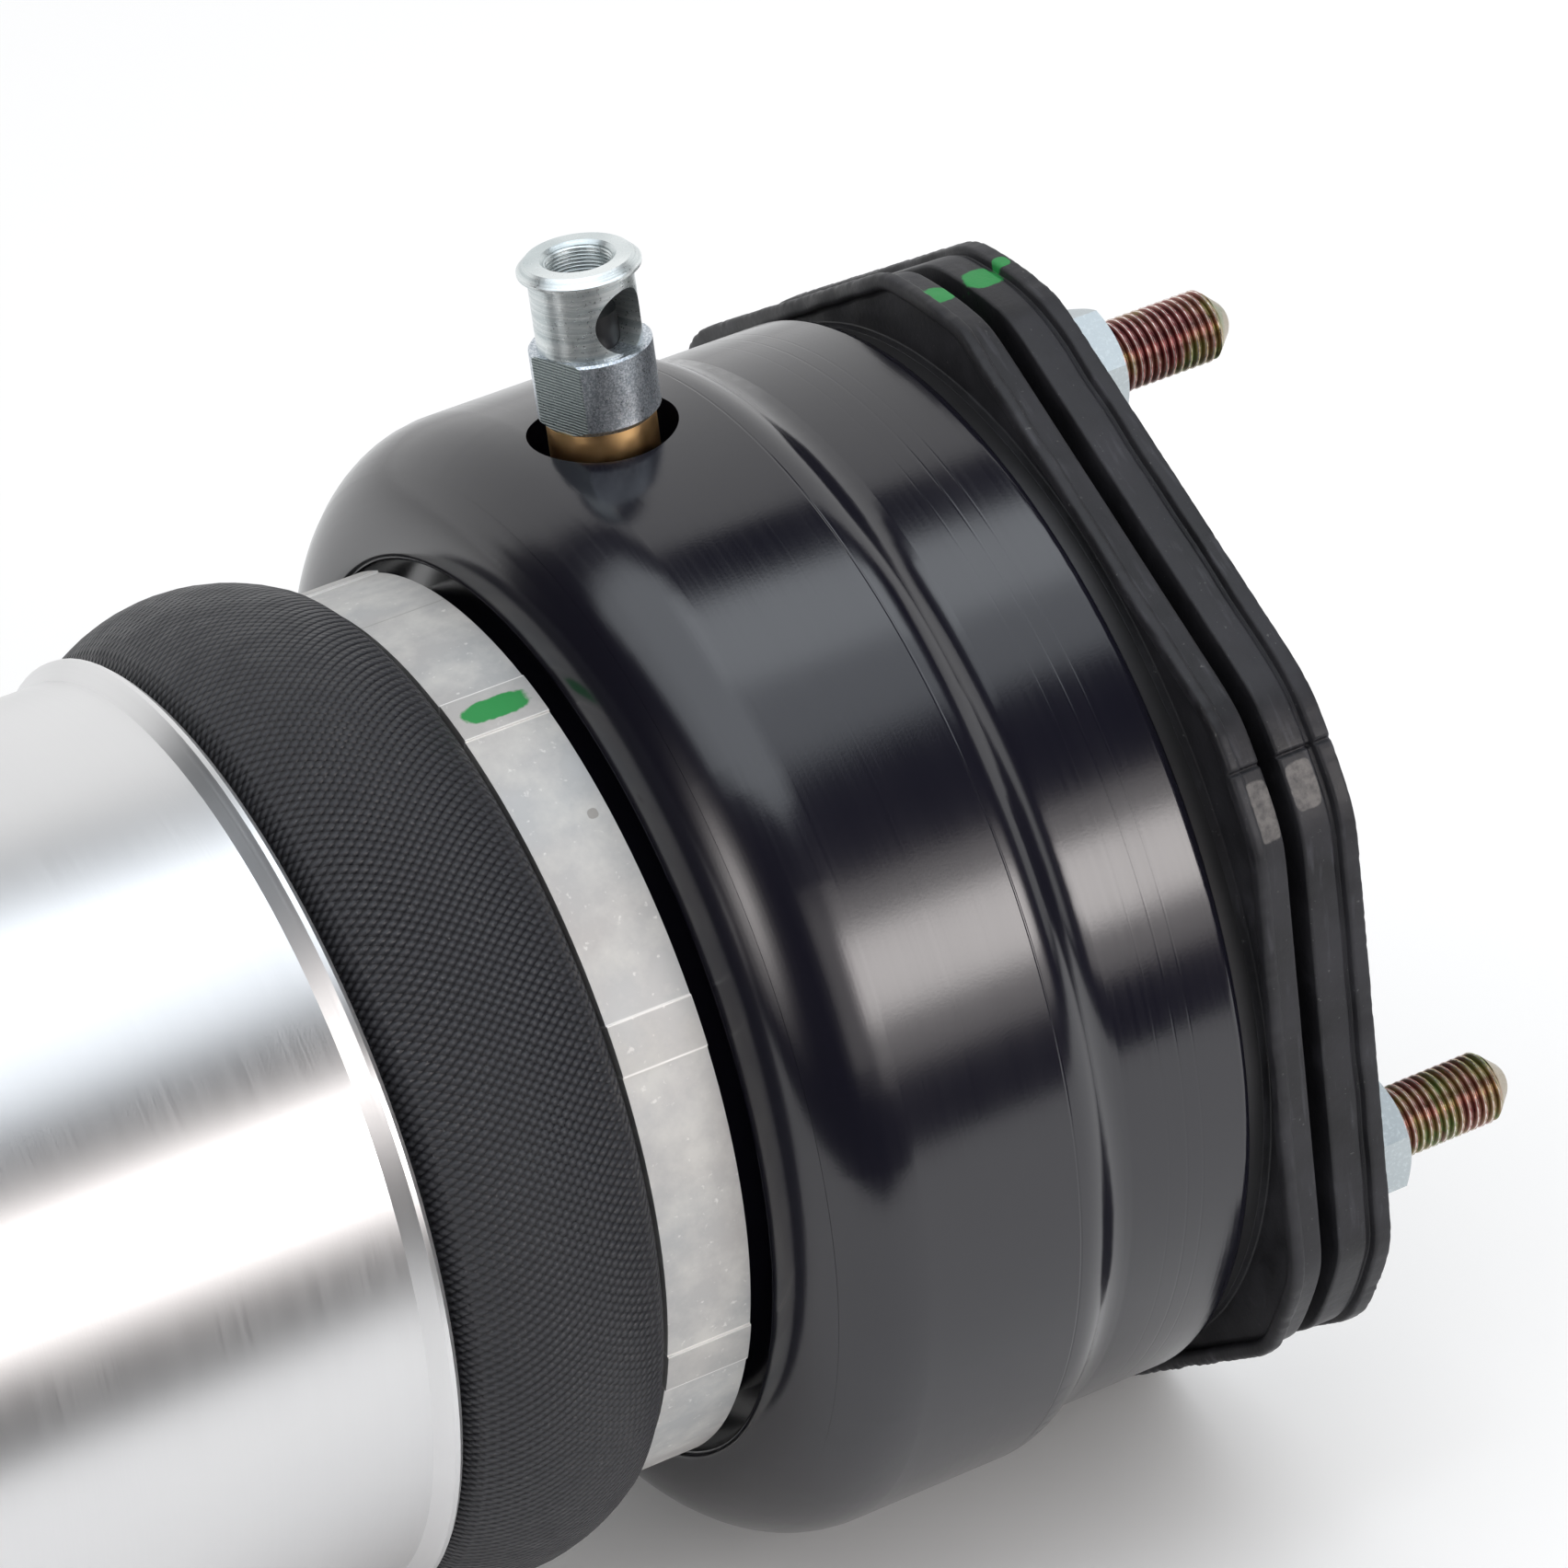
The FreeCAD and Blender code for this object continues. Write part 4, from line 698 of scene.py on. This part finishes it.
# Soft pieces
def soft_copy(name, node):
    """Copy of the node's mesh that stands in for it, with the node hidden. Returns the object."""
    obj = bpy.data.objects.new(name, frame["nodes"][node].data.copy())
    scene.collection.objects.link(obj)
    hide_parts(node)
    return obj


def bellows_sleeve():
    """Bellows, a copy of the node with its place baked into its mesh."""
    obj = soft_copy("bellows_sleeve", "bellows")
    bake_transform(obj)


def folding_boot():
    """Dust boot, a copy of the node that rides on the guide with a mesh of its own."""
    obj = soft_copy("folding_boot", "dust_boot")
    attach(obj, "guide")
    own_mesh(obj)


for number in (1, 2, 3):
    stud(number)
port_thread()
mount_block()
lip_edge()
bellows_sleeve()
folding_boot()


# Camera at the photograph's viewpoint, given with the strut rolled a little about X.
# Focal length and shift are in pixels of the frame.
ROLL = math.radians(12.8)
AZIMUTH, ELEVATION = math.radians(-30.579), math.radians(40.649)
AIM = Vector((-52.237, 0, 4.572)) * MM
DISTANCE = 1.04793
FRAME_PX, FOCAL_PX, SHIFT_PX = 1704, 8484.63, (-34.595, 97.909)

back = Vector((math.sin(AZIMUTH) * math.cos(ELEVATION), -math.cos(AZIMUTH) * math.cos(ELEVATION),
               math.sin(ELEVATION)))
right = Vector((math.cos(AZIMUTH), math.sin(AZIMUTH), 0))
axes = Matrix((right, back.cross(right), back)).transposed().to_4x4()
camera = bpy.data.objects.new("camera", bpy.data.cameras.new("camera"))
scene.collection.objects.link(camera)
camera.matrix_world = Matrix.Rotation(ROLL, 4, "X") @ Matrix.Translation(AIM + back * DISTANCE) @ axes
camera.data.sensor_width = 36.0
camera.data.lens = FOCAL_PX / FRAME_PX * camera.data.sensor_width
camera.data.shift_x, camera.data.shift_y = (pixels / FRAME_PX for pixels in SHIFT_PX)
camera.data.clip_start = 0.05
camera.data.clip_end = 20.0
scene.camera = camera


# Floor, reflections and lamps, none of them part of the object. Directions are given by a turn about
# the strut, from +Y towards +Z, and a lean towards +X, both in degrees.
STAGE_CENTRE = (-0.08, 0.0, 0.0)
DOME_R = 1.4
COOL = np.array((0.90, 0.95, 1.0))
WARM = np.array((1.0, 0.95, 0.93))


def stage_mesh(name, points, faces, finish):
    """Mesh of the stage, with its finish. Returns the object."""
    mesh = bpy.data.meshes.new(name)
    mesh.from_pydata(points, [], faces)
    mesh.materials.append(finish)
    obj = bpy.data.objects.new(name, mesh)
    scene.collection.objects.link(obj)
    return obj


def reflections_only(obj):
    """Hides the object from all but reflections."""
    for rays in ("camera", "diffuse", "shadow", "transmission"):
        setattr(obj, "visible_" + rays, False)


def toward(turn, lean):
    """Unit vector of a direction, or of an array of them."""
    turn, lean = np.radians(turn), np.radians(lean)
    return np.stack([np.sin(lean), np.cos(lean) * np.cos(turn), np.cos(lean) * np.sin(turn)], -1)


def white_floor():
    """Plain white sheet just under the part."""
    half = 6.0
    corners = [(-half, -half, FLOOR_Z), (half, -half, FLOOR_Z), (half, half, FLOOR_Z), (-half, half, FLOOR_Z)]
    finish = shader("floor", (0.985, 0.985, 0.985), 0.9, Specular_IOR_Level=0.0)
    stage_mesh("floor", corners, [(0, 1, 2, 3)], finish)


def lamp(name, turn, lean, distance, size_x, size_y, radiance, color):
    """Soft rectangular lamp that faces the strut and shows in no reflection."""
    light = bpy.data.lights.new(name, "AREA")
    light.shape = "RECTANGLE"
    light.size, light.size_y = size_x, size_y
    light.energy = radiance * math.pi * size_x * size_y
    light.color = color
    obj = bpy.data.objects.new(name, light)
    scene.collection.objects.link(obj)
    out = Vector(toward(turn, lean))
    along = (Vector((1, 0, 0)) - out * out.x).normalized()
    turned = Matrix((along, out.cross(along), out)).transposed().to_4x4()
    obj.matrix_world = Matrix.Translation(Vector(STAGE_CENTRE) + out * distance) @ turned
    obj.visible_camera = False
    obj.visible_glossy = False


def between(value, low, high, soft):
    """1 between two limits and 0 outside, with soft edges."""
    rise = np.clip(0.5 + (value - low) / soft, 0, 1)
    return rise * np.clip(0.5 + (high - value) / soft, 0, 1)


# Where the dome is open to the white room, and where its top box is: lean, and the turns of both edges
OPEN = ((-78, -95, -95), (-70, -122, -78), (-60, -138, -62), (-50, -147, -50), (-45, -149, -25), (-42, -150, 8),
        (-39, -150, 30), (-34, -150, 43), (-27, -151, 53), (-17, -152, 58), (-5, -153, 61), (5, -153, 62),
        (22, -160, 73), (58, -160, 73))
TOP_BOX = ((-43, 64, 116), (-31, 67, 121), (-20, 71, 126), (-7, 73, 130), (0, 74, 132), (10, 78, 130),
           (19, 84, 126), (24, 85.5, 122), (45, 85.5, 122))
# Boxes in front: turn limits and their softness, lean limits and their softness, radiance
FRONT_BOXES = ((147.4, 182.6, 2, 5, 40, 6, 1.6), (155.7, 172.3, 2, 5, 39, 8, 5.9),
               (148, 180, 6, -17, 3, 10, 1.0))
# Warm spot at the side: turn, lean, spread and radiance
SPOT = (140, -67, 11.5, 4.9)


def edges(lean, table):
    """Turns of both edges at a lean."""
    lean_at, low, high = np.array(table, float).T
    return np.interp(lean, lean_at, low), np.interp(lean, lean_at, high)


def soft_boxes(turn, lean):
    """Radiance of the dome: a broad box above, a bright one in front and a warm spot at the side."""
    low, high = edges(lean, TOP_BOX)
    top = between(turn, low, high, 3) * between(lean, -42, 42, 5)
    core = 1.1 * between(turn, 86.5, 105.5, 3) * between(lean, 8, 39, 8)
    top = top * (1.9 - 0.3 * between(lean, -90, -29, 14) - 0.55 * between(lean, 12, 90, 8) + core)
    front = sum(between(turn, *box[:3]) * between(lean, *box[3:6]) * box[6] for box in FRONT_BOXES)
    away = np.degrees(np.arccos(np.clip(toward(turn, lean) @ toward(*SPOT[:2]), -1, 1)))
    spot = SPOT[3] * np.exp(-(away / SPOT[2]) ** 2)
    return top[..., None] * COOL + (front + spot)[..., None] * WARM


def reflection_dome():
    """Sheet that shows in reflections only, black between the soft boxes."""
    turns = np.arange(-160.0, 201.0, 2.0)
    leans = np.arange(-90.0, 59.0, 2.0)
    turn, lean = np.meshgrid(turns, leans)
    points = toward(turn, lean) * DOME_R + np.array(STAGE_CENTRE)
    columns = len(turns)
    faces = []
    for i, low_lean in enumerate(leans[:-1]):
        start, end = edges(low_lean + 1, OPEN)
        for k, low_turn in enumerate(turns[:-1]):
            if not start < low_turn + 1 < end:
                a = i * columns + k
                faces.append((a, a + 1, a + 1 + columns, a + columns))
    finish = shader("dome", (0.004, 0.004, 0.006), 0.9, Specular_IOR_Level=0.0, Emission_Strength=1.0)
    wire(finish, "Emission Color", add(finish, "Attribute", attribute_name="glow").outputs["Color"])
    finish.cycles.emission_sampling = "NONE"
    dome = stage_mesh("reflection_dome", points.reshape(-1, 3).tolist(), faces, finish)
    glow = dome.data.attributes.new("glow", "FLOAT_COLOR", "POINT")
    colors = np.ones((turn.size, 4), np.float32)
    colors[:, :3] = soft_boxes(turn, lean).reshape(-1, 3)
    glow.data.foreach_set("color", colors.ravel())
    reflections_only(dome)


def low_sheet():
    """Black sheet just over the floor in front of the part, for reflections only."""
    near = ((-1.5, 0.0), (-0.732, -0.064), (-0.387, -0.168), (-0.300, -0.222), (-0.232, -0.241),
            (-0.122, -0.250), (0.042, -0.331), (1.5, -0.331))
    points = [(x, y, FLOOR_Z + MM) for x, y in near] + [(x, -2.0, FLOOR_Z + MM) for x, y in near]
    count = len(near)
    faces = [(k, k + count, k + count + 1, k + 1) for k in range(count - 1)]
    finish = shader("black_sheet", (0.004, 0.004, 0.006), 0.9, Specular_IOR_Level=0.0)
    reflections_only(stage_mesh("low_sheet", points, faces, finish))


white_floor()
lamp("top_box", 104, 22, 1.5, 1.1, 1.0, 1.9, COOL)
lamp("front_box", 165, 22, 1.5, 1.0, 0.95, 2.8, WARM)
lamp("side_strip", 150, -62, 1.4, 0.28, 0.9, 3.0, WARM)
reflection_dome()
low_sheet()

# White room: 1 where it is seen, a little less as a light
world = bpy.data.worlds.new("world")
scene.world = world
world.use_nodes = True
path = add(world, "LightPath").outputs
seen = math_of(world, "MAXIMUM", path["Is Camera Ray"], path["Is Glossy Ray"])
seen = math_of(world, "MAXIMUM", seen, path["Is Transmission Ray"])
level = add(world, "MapRange", [("Value", seen), ("To Min", 0.8), ("To Max", 1.0)]).outputs[0]
sky = world.node_tree.nodes["Background"]
sky.inputs["Color"].default_value = (1, 1, 1, 1)
world.node_tree.links.new(level, sky.inputs["Strength"])

scene.view_settings.view_transform = "Standard"
